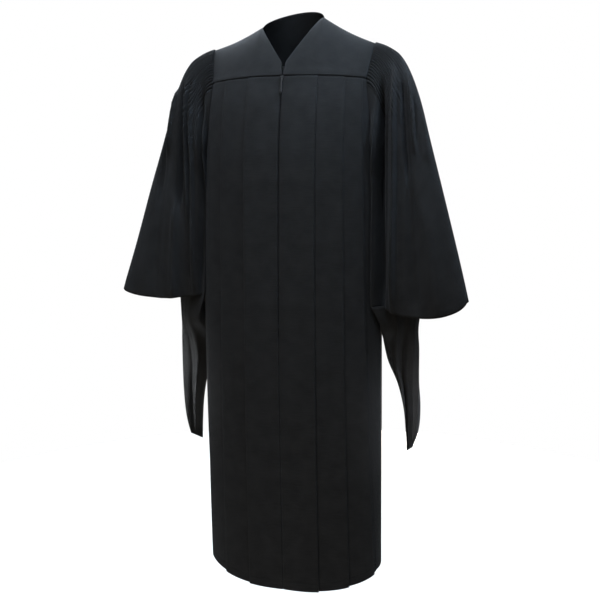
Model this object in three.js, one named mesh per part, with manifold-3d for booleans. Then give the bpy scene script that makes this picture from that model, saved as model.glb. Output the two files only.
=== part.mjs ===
// A masters graduation gown, filled out as it hangs on a wearer: pointed yoke, zip front with pressed
// pleats, gathered bell sleeves with an open cuff, and the closed bag of the long sleeve behind each cuff.
// Millimetres, +Z up, the front faces -Y, the wearer's left is +X. The origin is the neck base.
import * as THREE from "three";
import { mergeVertices } from "three/addons/utils/BufferGeometryUtils.js";
import Module from "manifold-3d";

const wasm = await Module();
wasm.setup();

// Driving dimensions
const CLOTH = 1.6;
const SEAM_GAP = 0.3;
const GOWN_LENGTH = 1374;
const HEM_SIDE_LIFT = 28;
const NECK_HALF = 75;
const NECK_RISE = { left: 8, right: -8 };
const BACK_NECK = { rise: 34, depth: 64 };
const SHOULDER = { x: 199, z: -56 };
const NECK_RIDGE_SAG = 5;
const YOKE_SEAM = { centre: -133, corner: -140, back: -150 };
const YOKE_SLOPE = 0.5;
const YOKE_CORNER_X = 187;
const YOKE_CORNER_SPREAD = 30;
const YOKE_SHARE = 66;
const UNDERARM_Z = -340;
const V_BOTTOM = -107;
const PLEAT = { under: 14, rise: 6, turn: 1.2 };
const ZIP = { edge: 2, top: -112, end: -720, tape: 12, tapeWall: 0.8, chain: 1.7, closed: 0.15 };
const ZIP_CLOSES = { from: 4, to: 30 };

// Body sections, from the yoke to the hem: half width, front, back and widest line in Y, and squareness
const BODY = [
  { z: -133, half: 205, front: -103, back: 92, widest: 0, square: 2.4 },
  { z: -200, half: 210, front: -124, back: 102, widest: -4, square: 2.4 },
  { z: -275, half: 213, front: -138, back: 102, widest: -8, square: 2.35 },
  { z: -340, half: 216, front: -145, back: 100, widest: -12, square: 2.3 },
  { z: -500, half: 221, front: -151, back: 94, widest: -22, square: 2.2 },
  { z: -700, half: 225, front: -157, back: 92, widest: -30, square: 2.1 },
  { z: -1000, half: 226, front: -163, back: 96, widest: -34, square: 2.1 },
  { z: -1390, half: 223, front: -170, back: 102, widest: -35, square: 2.1 },
];

const HEM_HALF = BODY[BODY.length - 1].half;
const HEM_DRIFT = 12;

// Pressed pleats of each half: where the fold edge lies at the yoke seam and at the hem
const FRONT_PLEATS = [
  { top: 81, hem: 86 },
  { top: 141, hem: 156 },
  { top: 178, hem: 210 },
];
const BACK_PLEATS = [
  { top: 60, hem: 66 },
  { top: 118, hem: 132 },
  { top: 168, hem: 190 },
];

// Sleeve rings from the armhole to the cuff: outer line, inner line, and the depth before and behind them
const SLEEVE = [
  { t: 0.0, outX: 199, outY: 0, outZ: -56, inX: 219, inY: -12, inZ: -340, front: 57, back: 55 },
  { t: 0.06, outX: 240, outY: 0, outZ: -72, inX: 221, inY: -15, inZ: -350, front: 64, back: 62 },
  { t: 0.14, outX: 274, outY: 0, outZ: -107, inX: 222, inY: -22, inZ: -368, front: 68, back: 68 },
  { t: 0.24, outX: 305, outY: -3, outZ: -178, inX: 223, inY: -32, inZ: -398, front: 70, back: 74 },
  { t: 0.38, outX: 334, outY: -17, outZ: -278, inX: 224, inY: -45, inZ: -445, front: 70, back: 80 },
  { t: 0.52, outX: 363, outY: -37, outZ: -382, inX: 225, inY: -54, inZ: -500, front: 70, back: 84 },
  { t: 0.68, outX: 391, outY: -54, outZ: -490, inX: 227, inY: -58, inZ: -562, front: 68, back: 86 },
  { t: 0.84, outX: 416, outY: -72, outZ: -590, inX: 228, inY: -60, inZ: -615, front: 64, back: 86 },
  { t: 1.0, outX: 431, outY: -82, outZ: -652, inX: 229, inY: -60, inZ: -650, front: 60, back: 86 },
];

// How the two sleeves hang unlike each other: the cuff's droop in front and lift at its outer end, how much
// slimmer the middle is, how far the bag's tip stands out and hangs down, and how much its top swells
const HANG = {
  left: { droop: 36, lift: 0, trim: 2, bagOut: -4, bagDrop: 0, bagSwell: 0 },
  right: { droop: 12, lift: 9, trim: 5, bagOut: 5, bagDrop: 12, bagSwell: 11 },
};
const INNER_BACK = 26;

// The sleeve's front laps over the body's side in one long fold: its place round the ring in degrees, its
// width, and how far it reaches inward, at the head and below it, and how far forward
const LAP = { headAt: 124, at: 152, headWide: 36, wide: 16, headIn: 15, in: 24, ahead: 28 };

// Large folds of the sleeve: place round the ring in degrees, width, height, and the stretch that it runs
const FOLDS = [
  { at: 22, wide: 16, high: 7, from: 0.1, to: 0.62 },
  { at: 44, wide: 14, high: -9, from: 0.08, to: 0.6 },
  { at: 64, wide: 14, high: 9, from: 0.08, to: 0.75 },
  { at: 86, wide: 14, high: -8, from: 0.1, to: 0.7 },
  { at: 106, wide: 13, high: 12, from: 0.06, to: 0.85 },
  { at: 130, wide: 15, high: -16, from: 0.08, to: 0.95 },
  { at: 214, wide: 15, high: -12, from: 0.08, to: 0.9 },
  { at: 238, wide: 14, high: 10, from: 0.08, to: 0.85 },
  { at: 262, wide: 14, high: -8, from: 0.1, to: 0.7 },
  { at: 286, wide: 14, high: 8, from: 0.1, to: 0.75 },
  { at: 312, wide: 15, high: -8, from: 0.1, to: 0.6 },
  { at: 338, wide: 15, high: 6, from: 0.1, to: 0.6 },
];
const GATHERS = { high: 4, seam: 0.35, fade: 0.2, to: 105, crowd: 0.38 };
const YOKE_FALLS = [0, 0.13, 0.28, 0.42, 0.56, 0.68];
const BACK_YOKE_FALLS = [0, 0.16, 0.34, 0.52, 0.7, 0.86, 1];
const HEAD_RINGS = [0, 0.02, 0.05, 0.09, 0.14];
const LOWER_RINGS = [0.2, 0.29, 0.38, 0.48, 0.58, 0.68, 0.78, 0.89, 1];
const RING = 48;
const BAG_START = 20;
const BAG_END = 34;

// The sleeve bag below the cuff: its inner front edge, its outer edge, and how far each wall bulges
const BAG = [
  { inX: 232, inY: -70, inZ: -720, outX: 313, outY: 14, outZ: -728, back: 34, front: 16 },
  { inX: 231, inY: -6, inZ: -770, outX: 316, outY: 17, outZ: -790, back: 46, front: 16 },
  { inX: 238, inY: 36, inZ: -828, outX: 317, outY: 20, outZ: -860, back: 42, front: 14 },
  { inX: 261, inY: 62, inZ: -892, outX: 317, outY: 24, outZ: -925, back: 34, front: 12 },
  { inX: 277, inY: 74, inZ: -960, outX: 315, outY: 31, outZ: -985, back: 26, front: 10 },
  { inX: 284, inY: 80, inZ: -1025, outX: 311, outY: 38, outZ: -1025, back: 17, front: 8 },
  { inX: 287, inY: 84, inZ: -1082, outX: 306, outY: 46, outZ: -1056, back: 0, front: 0 },
];

const BLACK_CLOTH = { color: 0x1f2023, roughness: 0.9, metalness: 0 };
const ZIP_TAPE = { color: 0x141416, roughness: 0.8, metalness: 0 };
const DARK_METAL = { color: 0x3a3a3e, roughness: 0.4, metalness: 0.9 };

const HALF_TURN = Math.PI;
const QUARTER = Math.PI / 2;
const mix = (a, b, f) => a + (b - a) * f;
const clamp01 = (f) => Math.min(1, Math.max(0, f));
const ease = (a, b, value) => {
  const f = clamp01((value - a) / (b - a));
  return f * f * (3 - 2 * f);
};

// Every column of a table at a place along its key, by a smooth curve through the rows
function along(table, key, value) {
  const falling = table[0][key] > table[table.length - 1][key];
  const place = falling ? -value : value;
  const keys = table.map((row) => (falling ? -row[key] : row[key]));
  let i = 0;
  while (i < keys.length - 2 && place > keys[i + 1]) i += 1;
  const span = keys[i + 1] - keys[i];
  const f = clamp01((place - keys[i]) / span);
  const result = {};
  for (const name of Object.keys(table[0])) {
    const a = table[i][name];
    const b = table[i + 1][name];
    const before = i > 0 ? (b - table[i - 1][name]) / (keys[i + 1] - keys[i - 1]) : (b - a) / span;
    const last = i + 2 < keys.length;
    const after = last ? (table[i + 2][name] - a) / (keys[i + 2] - keys[i]) : (b - a) / span;
    const f2 = f * f;
    const f3 = f2 * f;
    const ends = a * (2 * f3 - 3 * f2 + 1) + b * (3 * f2 - 2 * f3);
    result[name] = ends + span * (before * (f3 - 2 * f2 + f) + after * (f3 - f2));
  }
  return result;
}

// A cloth surface of shared points and faces, to be given its thickness
class Surface {
  constructor() {
    this.points = [];
    this.faces = [];
  }
  point(x, y, z) {
    this.points.push(new THREE.Vector3(x, y, z));
    return this.points.length - 1;
  }
  // Quads between two rows of point numbers with the same count
  band(upper, lower) {
    this.lastRow = lower.length;
    for (let i = 0; i + 1 < upper.length; i += 1) {
      this.faces.push([upper[i], lower[i], lower[i + 1]]);
      this.faces.push([upper[i], lower[i + 1], upper[i + 1]]);
    }
  }
  // Triangles from a row to one with half as many points
  halvingBand(upper, lower) {
    for (let i = 0; i + 1 < lower.length; i += 1) {
      const [a, b, c] = [upper[2 * i], upper[2 * i + 1], upper[2 * i + 2]];
      this.faces.push([a, lower[i], b], [b, lower[i], lower[i + 1]], [b, lower[i + 1], c]);
    }
  }
}

// The closed wall of a cloth surface: both faces moved out half the thickness, and a rim at each free edge.
// Squared is a function that levels the direction in which a point moves, so that a seam's rims stay parallel.
function wall(surface, thickness, squared) {
  const { points, faces } = surface;
  const normals = points.map(() => new THREE.Vector3());
  const edge1 = new THREE.Vector3();
  const edge2 = new THREE.Vector3();
  for (const face of faces) {
    for (let k = 0; k < 3; k += 1) {
      const [a, b, c] = [face[k], face[(k + 1) % 3], face[(k + 2) % 3]];
      edge1.subVectors(points[b], points[a]);
      edge2.subVectors(points[c], points[a]);
      const angle = edge1.angleTo(edge2);
      const facing = new THREE.Vector3().crossVectors(edge1, edge2).normalize();
      normals[a].addScaledVector(facing, angle);
    }
  }
  const count = points.length;
  const positions = [];
  for (const sign of [1, -1]) {
    points.forEach((point, i) => {
      const normal = normals[i].clone().normalize();
      squared(normal, i);
      const moved = point.clone().addScaledVector(normal.normalize(), (sign * thickness) / 2);
      positions.push(moved.x, moved.y, moved.z);
    });
  }
  const index = [];
  const used = new Set();
  for (const [a, b, c] of faces) {
    index.push(a, b, c, c + count, b + count, a + count);
    for (const [p, q] of [[a, b], [b, c], [c, a]]) used.add(`${p},${q}`);
  }
  for (const [a, b, c] of faces) {
    for (const [p, q] of [[a, b], [b, c], [c, a]]) {
      if (used.has(`${q},${p}`)) continue;
      index.push(q, p, p + count, q, p + count, q + count);
    }
  }
  return facingOut(positions, index);
}

// A closed geometry with its faces pointing out
function facingOut(positions, index) {
  let volume = 0;
  const corner = (i) => new THREE.Vector3().fromArray(positions, 3 * i);
  for (let i = 0; i < index.length; i += 3) {
    volume += corner(index[i]).dot(corner(index[i + 1]).cross(corner(index[i + 2])));
  }
  if (volume < 0) {
    for (let i = 0; i < index.length; i += 3) [index[i], index[i + 1]] = [index[i + 1], index[i]];
  }
  const geometry = new THREE.BufferGeometry();
  geometry.setAttribute("position", new THREE.Float32BufferAttribute(positions, 3));
  geometry.setIndex(index);
  geometry.computeVertexNormals();
  return geometry;
}

// A point of the body at a height, a turn from 0 at the centre line to 1 at the side seam, and a rise
// off the surface. Face is "front" or "back", side is 1 for the wearer's left and -1 for the right.
function bodyPoint(z, turn, rise, face, side) {
  const section = along(BODY, "z", z);
  const power = 2 / section.square;
  const sine = Math.sin(turn * QUARTER);
  const cosine = Math.cos(turn * QUARTER);
  const depth = section[face] - section.widest;
  const x = side * section.half * sine ** power;
  const y = section.widest + depth * cosine ** power;
  const out = new THREE.Vector2(side * sine, Math.sign(depth) * cosine).normalize();
  return new THREE.Vector3(x + out.x * rise + drift(z), y + out.y * rise, z);
}

// The skirt hangs a touch toward the wearer's left: nothing at the underarm, the whole drift at the hem
function drift(z) {
  return HEM_DRIFT * clamp01((UNDERARM_Z - z) / (GOWN_LENGTH + UNDERARM_Z)) ** 2;
}

// The turn at which the body's section reaches a distance from the centre line
function turnAt(z, x) {
  const section = along(BODY, "z", z);
  return Math.asin(clamp01(x / section.half) ** (section.square / 2)) / QUARTER;
}

// The seam between yoke and body: its height across the width, and the armhole's edge below its corner
function seamHeight(x, face) {
  if (face === "back") return YOKE_SEAM.back;
  return mix(YOKE_SEAM.centre, YOKE_SEAM.corner, (x / YOKE_CORNER_X) ** 2);
}

function armholeBelow(f, face) {
  const corner = seamHeight(YOKE_CORNER_X, face);
  const start = turnAt(corner, YOKE_CORNER_X);
  const z = mix(UNDERARM_Z, corner, 1 - Math.cos(f * QUARTER));
  return { z, turn: mix(1, start, Math.sin(f * QUARTER)) };
}

// The hem rises toward the side seams
function hemHeight(x) {
  return -GOWN_LENGTH + HEM_SIDE_LIFT * clamp01(Math.abs(x) / HEM_HALF) ** 3;
}

// The columns of one body half from the centre to the side seam. Each is a place between two knots of
// the table of pleats, with the rise of a knife pleat: out to the fold edge, back under it and on again.
function halfColumns(pleats) {
  const columns = [];
  const perFlute = 3;
  pleats.forEach((pleat, k) => {
    for (let i = k === 0 ? 0 : 1; i < perFlute; i += 1) {
      columns.push({ knot: k, part: i / perFlute, rise: (PLEAT.rise * i) / perFlute });
    }
    columns.push({ knot: k + 1, part: 0, shift: 0, rise: PLEAT.rise });
    columns.push({ knot: k + 1, part: 0, shift: PLEAT.turn, rise: PLEAT.rise * 0.75 });
    columns.push({ knot: k + 1, part: 0, shift: 0, rise: PLEAT.rise * 0.5 });
    columns.push({ knot: k + 1, part: 0, shift: -PLEAT.under, rise: PLEAT.rise * 0.5 });
    columns.push({ knot: k + 1, part: 0, shift: -PLEAT.under - PLEAT.turn, rise: PLEAT.rise * 0.25 });
    columns.push({ knot: k + 1, part: 0, shift: -PLEAT.under, rise: 0 });
  });
  columns.push({ knot: pleats.length + 1, part: 0, rise: 0 });
  const armholeSteps = 6;
  for (let i = 1; i <= armholeSteps; i += 1) {
    columns.push({ armhole: 1 - i / armholeSteps, rise: 0 });
  }
  return columns;
}

// Keeps the upper and lower rims of a body panel level
function levelled(normal) {
  normal.z = 0;
}

// How far down the body each row of points lies. The eighth is just below the end of the zip.
const ROWS = [0, 0.035, 0.08, 0.14, 0.22, 0.32, 0.4, 0.475, 0.5, 0.66, 0.83, 1];

// The points of one body half, as rows of numbers into the surface
function halfRows(surface, pleats, face, side, centre) {
  const columns = halfColumns(pleats);
  return ROWS.map((row) =>
    columns.map((column) => {
      const knotX = (k, down) => {
        if (k === 0) return 0;
        if (k <= pleats.length) return mix(pleats[k - 1].top, pleats[k - 1].hem, down);
        return mix(YOKE_CORNER_X, YOKE_CORNER_X + YOKE_CORNER_SPREAD, down);
      };
      if (column.armhole !== undefined) {
        const top = armholeBelow(column.armhole, face);
        const z = mix(top.z, hemHeight(side * HEM_HALF), row);
        const cornerTurn = turnAt(z, knotX(pleats.length + 1, row));
        const startTurn = armholeBelow(1, face).turn;
        const share = (1 - top.turn) / (1 - startTurn);
        const turn = mix(1, mix(startTurn, cornerTurn, row), share);
        const point = bodyPoint(z, turn, 0, face, side);
        if (turn === 1) point.y += face === "front" ? -SEAM_GAP / 2 : SEAM_GAP / 2;
        return surface.point(point.x, point.y, point.z);
      }
      const fromX = knotX(column.knot, row);
      const toX = knotX(Math.min(column.knot + 1, pleats.length + 1), row);
      const roughX = mix(fromX, toX, column.part);
      const edge = hemHeight(side * roughX);
      const z = mix(seamHeight(roughX, face) - SEAM_GAP / 2, edge, row);
      let turn = mix(turnAt(z, fromX), turnAt(z, toX), column.part);
      turn += (column.shift || 0) / (along(BODY, "z", z).half * QUARTER);
      const point = bodyPoint(z, turn, column.rise, face, side);
      if (column.knot === 0 && column.part === 0) point.x = side * centre(z) + drift(z);
      return surface.point(point.x, point.y, point.z);
    }),
  );
}

// How far each front edge stands from the centre: open along the chain, and closed to a seam below it
function zipEdge(z) {
  return mix(ZIP.edge, ZIP.closed, ease(ZIP_CLOSES.from, ZIP_CLOSES.to, ZIP.end - z));
}

function frontPanel(side) {
  const surface = new Surface();
  const rows = halfRows(surface, FRONT_PLEATS, "front", side, zipEdge);
  for (let i = 0; i + 1 < rows.length; i += 1) surface.band(rows[i], rows[i + 1]);
  return wall(surface, CLOTH, levelled);
}

function backPanel() {
  const surface = new Surface();
  const onCentre = () => 0;
  const left = halfRows(surface, BACK_PLEATS, "back", 1, onCentre);
  const right = halfRows(surface, BACK_PLEATS, "back", -1, onCentre);
  const rows = left.map((row, i) => [...row.slice().reverse(), ...right[i].slice(1)]);
  for (let i = 0; i + 1 < rows.length; i += 1) surface.band(rows[i], rows[i + 1]);
  return wall(surface, CLOTH, levelled);
}

// The shoulder ridge of a side, from the neck to the armhole, steeper beside the neck
function ridgeHeight(x, side) {
  const rise = side > 0 ? NECK_RISE.left : NECK_RISE.right;
  const f = clamp01((x - NECK_HALF) / (SHOULDER.x - NECK_HALF));
  return mix(rise, SHOULDER.z, f) - NECK_RIDGE_SAG * Math.sin(HALF_TURN * f);
}

// How far the yoke has dropped at a fall, and how far out it has come: half a quarter turn, half a slope
function yokeDrop(fall) {
  return 1 - Math.cos(fall * QUARTER);
}

function yokeLean(fall) {
  return mix(Math.sin(fall * QUARTER), yokeDrop(fall), YOKE_SLOPE);
}

// A yoke point: x across, and a fall from 0 on the shoulder ridge to 1 at the yoke seam
function yokePoint(x, fall, face, side) {
  const seam = seamHeight(x, face) + SEAM_GAP / 2;
  const ridge = ridgeHeight(x, side);
  const foot = bodyPoint(seam, turnAt(seam, x), 0, face, side);
  return new THREE.Vector3(side * x, foot.y * yokeLean(fall), mix(ridge, seam, yokeDrop(fall)));
}

// How far out the yoke reaches at a fall: from the shoulder's end to the yoke corner
function yokeEnd(fall) {
  return mix(SHOULDER.x, YOKE_CORNER_X, yokeDrop(fall));
}

// The falls of the front yoke's rows, with one at the bottom of the V
function yokeFalls(side) {
  const ridge = ridgeHeight(0, side);
  const vBottom = Math.acos(1 - (ridge - V_BOTTOM) / (ridge - YOKE_SEAM.centre)) / QUARTER;
  return { falls: [...YOKE_FALLS, vBottom, 1], vBottom };
}

function frontYoke(side) {
  const surface = new Surface();
  const { falls, vBottom } = yokeFalls(side);
  const steps = 11;
  const rows = falls.map((fall) => {
    const inner = mix(NECK_HALF, ZIP.edge, clamp01(yokeDrop(fall) / yokeDrop(vBottom)));
    return Array.from({ length: steps + 1 }, (_, i) => {
      const x = mix(inner, yokeEnd(fall), i / steps);
      const point = yokePoint(x, fall, "front", side);
      return surface.point(point.x, point.y - SEAM_GAP / 2, point.z);
    });
  });
  for (let i = 0; i + 1 < rows.length; i += 1) surface.band(rows[i], rows[i + 1]);
  return wall(surface, CLOTH, yokeRims(surface));
}

// A yoke's wall stands straight up at the shoulder seam and straight out at its foot
function yokeRims(surface) {
  return (normal, i) => {
    const point = surface.points[i];
    const onRidge = Math.abs(point.y) < SEAM_GAP && Math.abs(point.x) > NECK_HALF * 0.9;
    if (onRidge) normal.y = 0;
    if (i >= surface.points.length - surface.lastRow) normal.z = 0;
  };
}

// The back yoke is one piece across both shoulders. Between the necks its upper edge rises as an arch.
function backYoke() {
  const surface = new Surface();
  const steps = 22;
  const neckTop = (x) => {
    const arch = Math.cos((x / NECK_HALF) * QUARTER);
    const level = mix(NECK_RISE.right, NECK_RISE.left, (x / NECK_HALF + 1) / 2);
    return new THREE.Vector3(x, BACK_NECK.depth * arch ** 0.8, level + BACK_NECK.rise * arch ** 0.55);
  };
  const rows = BACK_YOKE_FALLS.map((fall) =>
    Array.from({ length: steps + 1 }, (_, i) => {
      const x = mix(-1, 1, i / steps) * yokeEnd(fall);
      const side = x < 0 ? -1 : 1;
      const width = Math.abs(x);
      let point = yokePoint(width, fall, "back", side);
      if (width < NECK_HALF) {
        const top = neckTop(x);
        const foot = yokePoint(width, 1, "back", side);
        const lean = yokeLean(fall);
        point = new THREE.Vector3(x, mix(top.y, foot.y, lean), mix(top.z, foot.z, fall));
      }
      return surface.point(point.x, point.y + SEAM_GAP / 2, point.z);
    }),
  );
  for (let i = 0; i + 1 < rows.length; i += 1) surface.band(rows[i], rows[i + 1]);
  return wall(surface, CLOTH, yokeRims(surface));
}

// The armhole edge at an angle round it: 0 on the shoulder, 90 at the front, 180 under the arm, 270 behind
function armholePoint(angle, side) {
  const face = angle <= 180 ? "front" : "back";
  const around = angle <= 180 ? angle : 360 - angle;
  const clear = SEAM_GAP + (CLOTH / 2) * mix(0.6, 1.1, ease(0, YOKE_SHARE, around));
  let point;
  if (around < YOKE_SHARE) {
    const fall = around / YOKE_SHARE;
    point = yokePoint(yokeEnd(fall), fall, face, side);
  } else {
    const edge = armholeBelow((180 - around) / (180 - YOKE_SHARE), face);
    point = bodyPoint(edge.z, edge.turn, 0, face, side);
  }
  point.x += side * clear;
  return point;
}

// A point of the sleeve ring at t from the armhole to the cuff, with its folds and gathers
function sleevePoint(t, angle, side, gather) {
  const row = along(SLEEVE, "t", t);
  const hang = side > 0 ? HANG.left : HANG.right;
  const trim = hang.trim * Math.exp(-2 * ((t - 0.45) / 0.4) ** 2);
  const outer = new THREE.Vector3(row.outX - trim, row.outY, row.outZ);
  const inner = new THREE.Vector3(row.inX, row.inY + INNER_BACK * ease(0.06, 0.45, t), row.inZ);
  const centre = outer.clone().add(inner).multiplyScalar(0.5);
  const major = outer.clone().sub(centre);
  const lengthwise = major.clone().normalize();
  const ahead = new THREE.Vector3(0, -1, 0);
  ahead.addScaledVector(lengthwise, -ahead.dot(lengthwise)).normalize();
  const radians = THREE.MathUtils.degToRad(angle);
  const sine = Math.sin(radians);
  const depth = sine > 0 ? row.front : row.back;
  const swell = Math.sign(sine) * Math.abs(sine) ** 0.85;
  const point = centre.clone().addScaledVector(major, Math.cos(radians)).addScaledVector(ahead, depth * swell);
  point.z -= hang.droop * ease(0.55, 1, t) * Math.max(0, sine);
  point.z += hang.lift * ease(0.7, 1, t) * Math.max(0, Math.cos(radians));
  const seam = armholePoint(angle, 1);
  point.lerpVectors(seam, point, ease(0, 0.1, t) ** 0.7);
  const lower = ease(0.04, 0.22, t);
  const fromLap = (angle - mix(LAP.headAt, LAP.at, lower)) / mix(LAP.headWide, LAP.wide, lower);
  const lap = ease(0.005, 0.07, t) * Math.exp(-2 * fromLap * fromLap);
  point.x -= lap * mix(LAP.headIn, LAP.in, ease(0.05, 0.18, t));
  point.y -= lap * LAP.ahead;
  const out = lengthwise.clone().multiplyScalar(Math.cos(radians) / major.length());
  out.addScaledVector(ahead, sine / depth).normalize();
  let high = gather * GATHERS.high * mix(GATHERS.seam, 1, ease(0, 0.03, t)) * (1 - ease(0.05, GATHERS.fade, t));
  for (const fold of FOLDS) {
    const ends = ease(fold.from, fold.from + 0.12, t) * (1 - ease(fold.to, fold.to + 0.2, t));
    const across = (angle - fold.at) / fold.wide;
    high += fold.high * ends * Math.exp(-across * across * 2);
  }
  point.addScaledVector(out, high);
  return new THREE.Vector3(side * point.x, point.y, point.z);
}

// A wall of the sleeve bag: across from its inner front edge to its outer edge, swelling between them
function bagPoint(row, across, bulge, side) {
  const inner = new THREE.Vector3(row.inX, row.inY, row.inZ);
  const outer = new THREE.Vector3(row.outX, row.outY, row.outZ);
  const chord = outer.clone().sub(inner);
  const behind = new THREE.Vector3(-chord.y, chord.x, 0).normalize();
  const f = (1 - Math.cos(HALF_TURN * across)) / 2;
  const swell = Math.sin(HALF_TURN * f) ** 0.7;
  const point = inner.addScaledVector(chord, f).addScaledVector(behind, bulge * swell);
  return new THREE.Vector3(side * point.x, point.y, point.z);
}

function sleeve(side) {
  const surface = new Surface();
  const put = (point) => surface.point(point.x, point.y, point.z);
  // The columns crowd together at the sleeve head and spread evenly round the ring lower down
  const angleOf = (i, columns, t) => {
    const half = (2 * i) / columns;
    const s = half > 1 ? 2 - half : half;
    const crowded = mix(s, s * s, GATHERS.crowd * (1 - ease(0.14, 0.48, t)));
    return half > 1 ? 360 - 180 * crowded : 180 * crowded;
  };
  const ring = (t, columns) => {
    const row = Array.from({ length: columns }, (_, i) => {
      const angle = angleOf(i, columns, t);
      const strength = 1 - ease(GATHERS.to - 25, GATHERS.to, Math.min(angle, 360 - angle));
      return put(sleevePoint(t, angle, side, (i % 2 ? 1 : -1) * strength));
    });
    return [...row, row[0]];
  };
  const fine = HEAD_RINGS.map((t) => ring(t, RING * 2));
  const coarse = LOWER_RINGS.map((t) => ring(t, RING));
  for (let i = 0; i + 1 < fine.length; i += 1) surface.band(fine[i], fine[i + 1]);
  surface.halvingBand(fine[fine.length - 1], coarse[0]);
  for (let i = 0; i + 1 < coarse.length; i += 1) surface.band(coarse[i], coarse[i + 1]);

  // Below the cuff the ring's back arc goes on as the bag's back wall, and a front wall joins its edges
  const cuff = coarse[coarse.length - 1];
  const steps = BAG_END - BAG_START;
  let back = cuff.slice(BAG_START, BAG_END + 1);
  const innerEdge = surface.points[back[0]];
  const outerEdge = surface.points[back[steps]];
  const mouth = {
    inX: side * innerEdge.x, inY: innerEdge.y, inZ: innerEdge.z,
    outX: side * outerEdge.x, outY: outerEdge.y, outZ: outerEdge.z,
  };
  let front = back.map((number, i) => {
    if (i === 0 || i === steps) return number;
    return put(bagPoint(mouth, i / steps, -BAG[0].front, side));
  });
  const hang = side > 0 ? HANG.left : HANG.right;
  const levels = BAG.map((level, i) => {
    const down = i / (BAG.length - 1);
    const out = hang.bagOut * down;
    const lower = hang.bagDrop * down;
    return {
      ...level,
      inX: level.inX + out,
      outX: level.outX + out,
      inZ: level.inZ - lower,
      outZ: level.outZ - lower,
      back: level.back + hang.bagSwell * (1 - down) ** 2,
    };
  });
  for (const level of levels) {
    const nextBack = Array.from({ length: steps + 1 }, (_, i) => put(bagPoint(level, i / steps, level.back, side)));
    const closed = level.back === 0;
    const nextFront = nextBack.map((number, i) => {
      if (closed || i === 0 || i === steps) return number;
      return put(bagPoint(level, i / steps, -level.front, side));
    });
    surface.band(back, nextBack);
    surface.band(nextFront, front);
    back = nextBack;
    front = nextFront;
  }
  const seamPoints = RING * 2;
  return wall(surface, CLOTH, (normal, i) => {
    if (i < seamPoints) normal.x = 0;
  });
}

// The points of the front edges at the centre, from the V to the hem, as the rows of the panels have them.
// Above the yoke seam they are those of the right side, which lies a little further back than the left.
function centreLine() {
  const upper = yokeFalls(-1).falls.map((fall) => yokePoint(ZIP.edge, fall, "front", -1));
  const lower = ROWS.map((row) => {
    const z = mix(seamHeight(0, "front") - SEAM_GAP / 2, hemHeight(0), row);
    return bodyPoint(z, 0, 0, "front", 1);
  });
  return [...upper, ...lower].map(({ y, z }) => ({ y, z }));
}

function centreDepth(z) {
  const line = centreLine();
  const i = line.findIndex((point) => point.z <= z);
  const f = (line[i - 1].z - z) / (line[i - 1].z - line[i].z);
  return mix(line[i - 1].y, line[i].y, f);
}

// The zip: a tape behind the two front edges with its chain between them, from the V to its stop
function zip() {
  const between = centreLine().map((point) => point.z).filter((z) => z < ZIP.top && z > ZIP.end);
  const heights = [ZIP.top, ...between, ZIP.end];
  const rows = heights.length - 1;
  const section = (z) => {
    const y = centreDepth(z);
    const tapeFront = y + CLOTH / 2 + SEAM_GAP + (z > YOKE_SEAM.centre - 1 ? SEAM_GAP : 0);
    const tapeBack = tapeFront + ZIP.tapeWall;
    return [
      [-ZIP.tape, tapeBack],
      [-ZIP.tape, tapeFront],
      [-ZIP.chain, tapeFront],
      [-ZIP.chain, y - CLOTH / 2],
      [ZIP.chain, y - CLOTH / 2],
      [ZIP.chain, tapeFront],
      [ZIP.tape, tapeFront],
      [ZIP.tape, tapeBack],
    ].map(([x, depth]) => new THREE.Vector3(x + drift(z), depth, z));
  };
  const positions = [];
  const index = [];
  const sides = 8;
  for (const z of heights) {
    for (const point of section(z)) positions.push(point.x, point.y, point.z);
  }
  for (let i = 0; i < rows; i += 1) {
    for (let k = 0; k < sides; k += 1) {
      const a = i * sides + k;
      const b = i * sides + ((k + 1) % sides);
      index.push(a, a + sides, b + sides, a, b + sides, b);
    }
  }
  const outline = section(ZIP.top).map((point) => new THREE.Vector2(point.x, point.y));
  const lower = rows * sides;
  for (const face of THREE.ShapeUtils.triangulateShape(outline, [])) {
    const turned = THREE.ShapeUtils.area(face.map((i) => outline[i])) * THREE.ShapeUtils.area(outline) < 0;
    const [a, b, c] = turned ? [face[1], face[0], face[2]] : face;
    index.push(a, b, c, lower + c, lower + b, lower + a);
  }
  return facingOut(positions, index);
}

// Joins closed geometries into one solid
function joined(geometries) {
  const solids = geometries.map((geometry) => {
    const bare = geometry.index ? geometry.toNonIndexed() : geometry.clone();
    bare.deleteAttribute("normal");
    bare.deleteAttribute("uv");
    const merged = mergeVertices(bare, 1e-4);
    const mesh = new wasm.Mesh({
      numProp: 3,
      vertProperties: merged.attributes.position.array,
      triVerts: new Uint32Array(merged.index.array),
    });
    return new wasm.Manifold(mesh);
  });
  const mesh = solids.reduce((sum, solid) => sum.add(solid)).getMesh();
  const geometry = new THREE.BufferGeometry();
  geometry.setAttribute("position", new THREE.BufferAttribute(mesh.vertProperties, 3));
  geometry.setIndex(new THREE.BufferAttribute(mesh.triVerts, 1));
  geometry.computeVertexNormals();
  return geometry;
}

// A plate cut to an outline in X and Z, its back at Y = 0 and its face toward -Y
function plate(outline, thickness) {
  const shape = new THREE.Shape(outline.map(([x, z]) => new THREE.Vector2(x, z)));
  const geometry = new THREE.ExtrudeGeometry(shape, { depth: thickness, bevelEnabled: false });
  return geometry.rotateX(QUARTER);
}

const SLIDER = { half: 4.6, high: 11, wall: 2.4, lug: 1.5, lugGap: 2.7, lugOut: 3.6 };
const PULL = { half: 2.3, long: 38, wall: 1.1, barrel: 1.2, sides: 12, tip: 3.4 };

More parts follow.
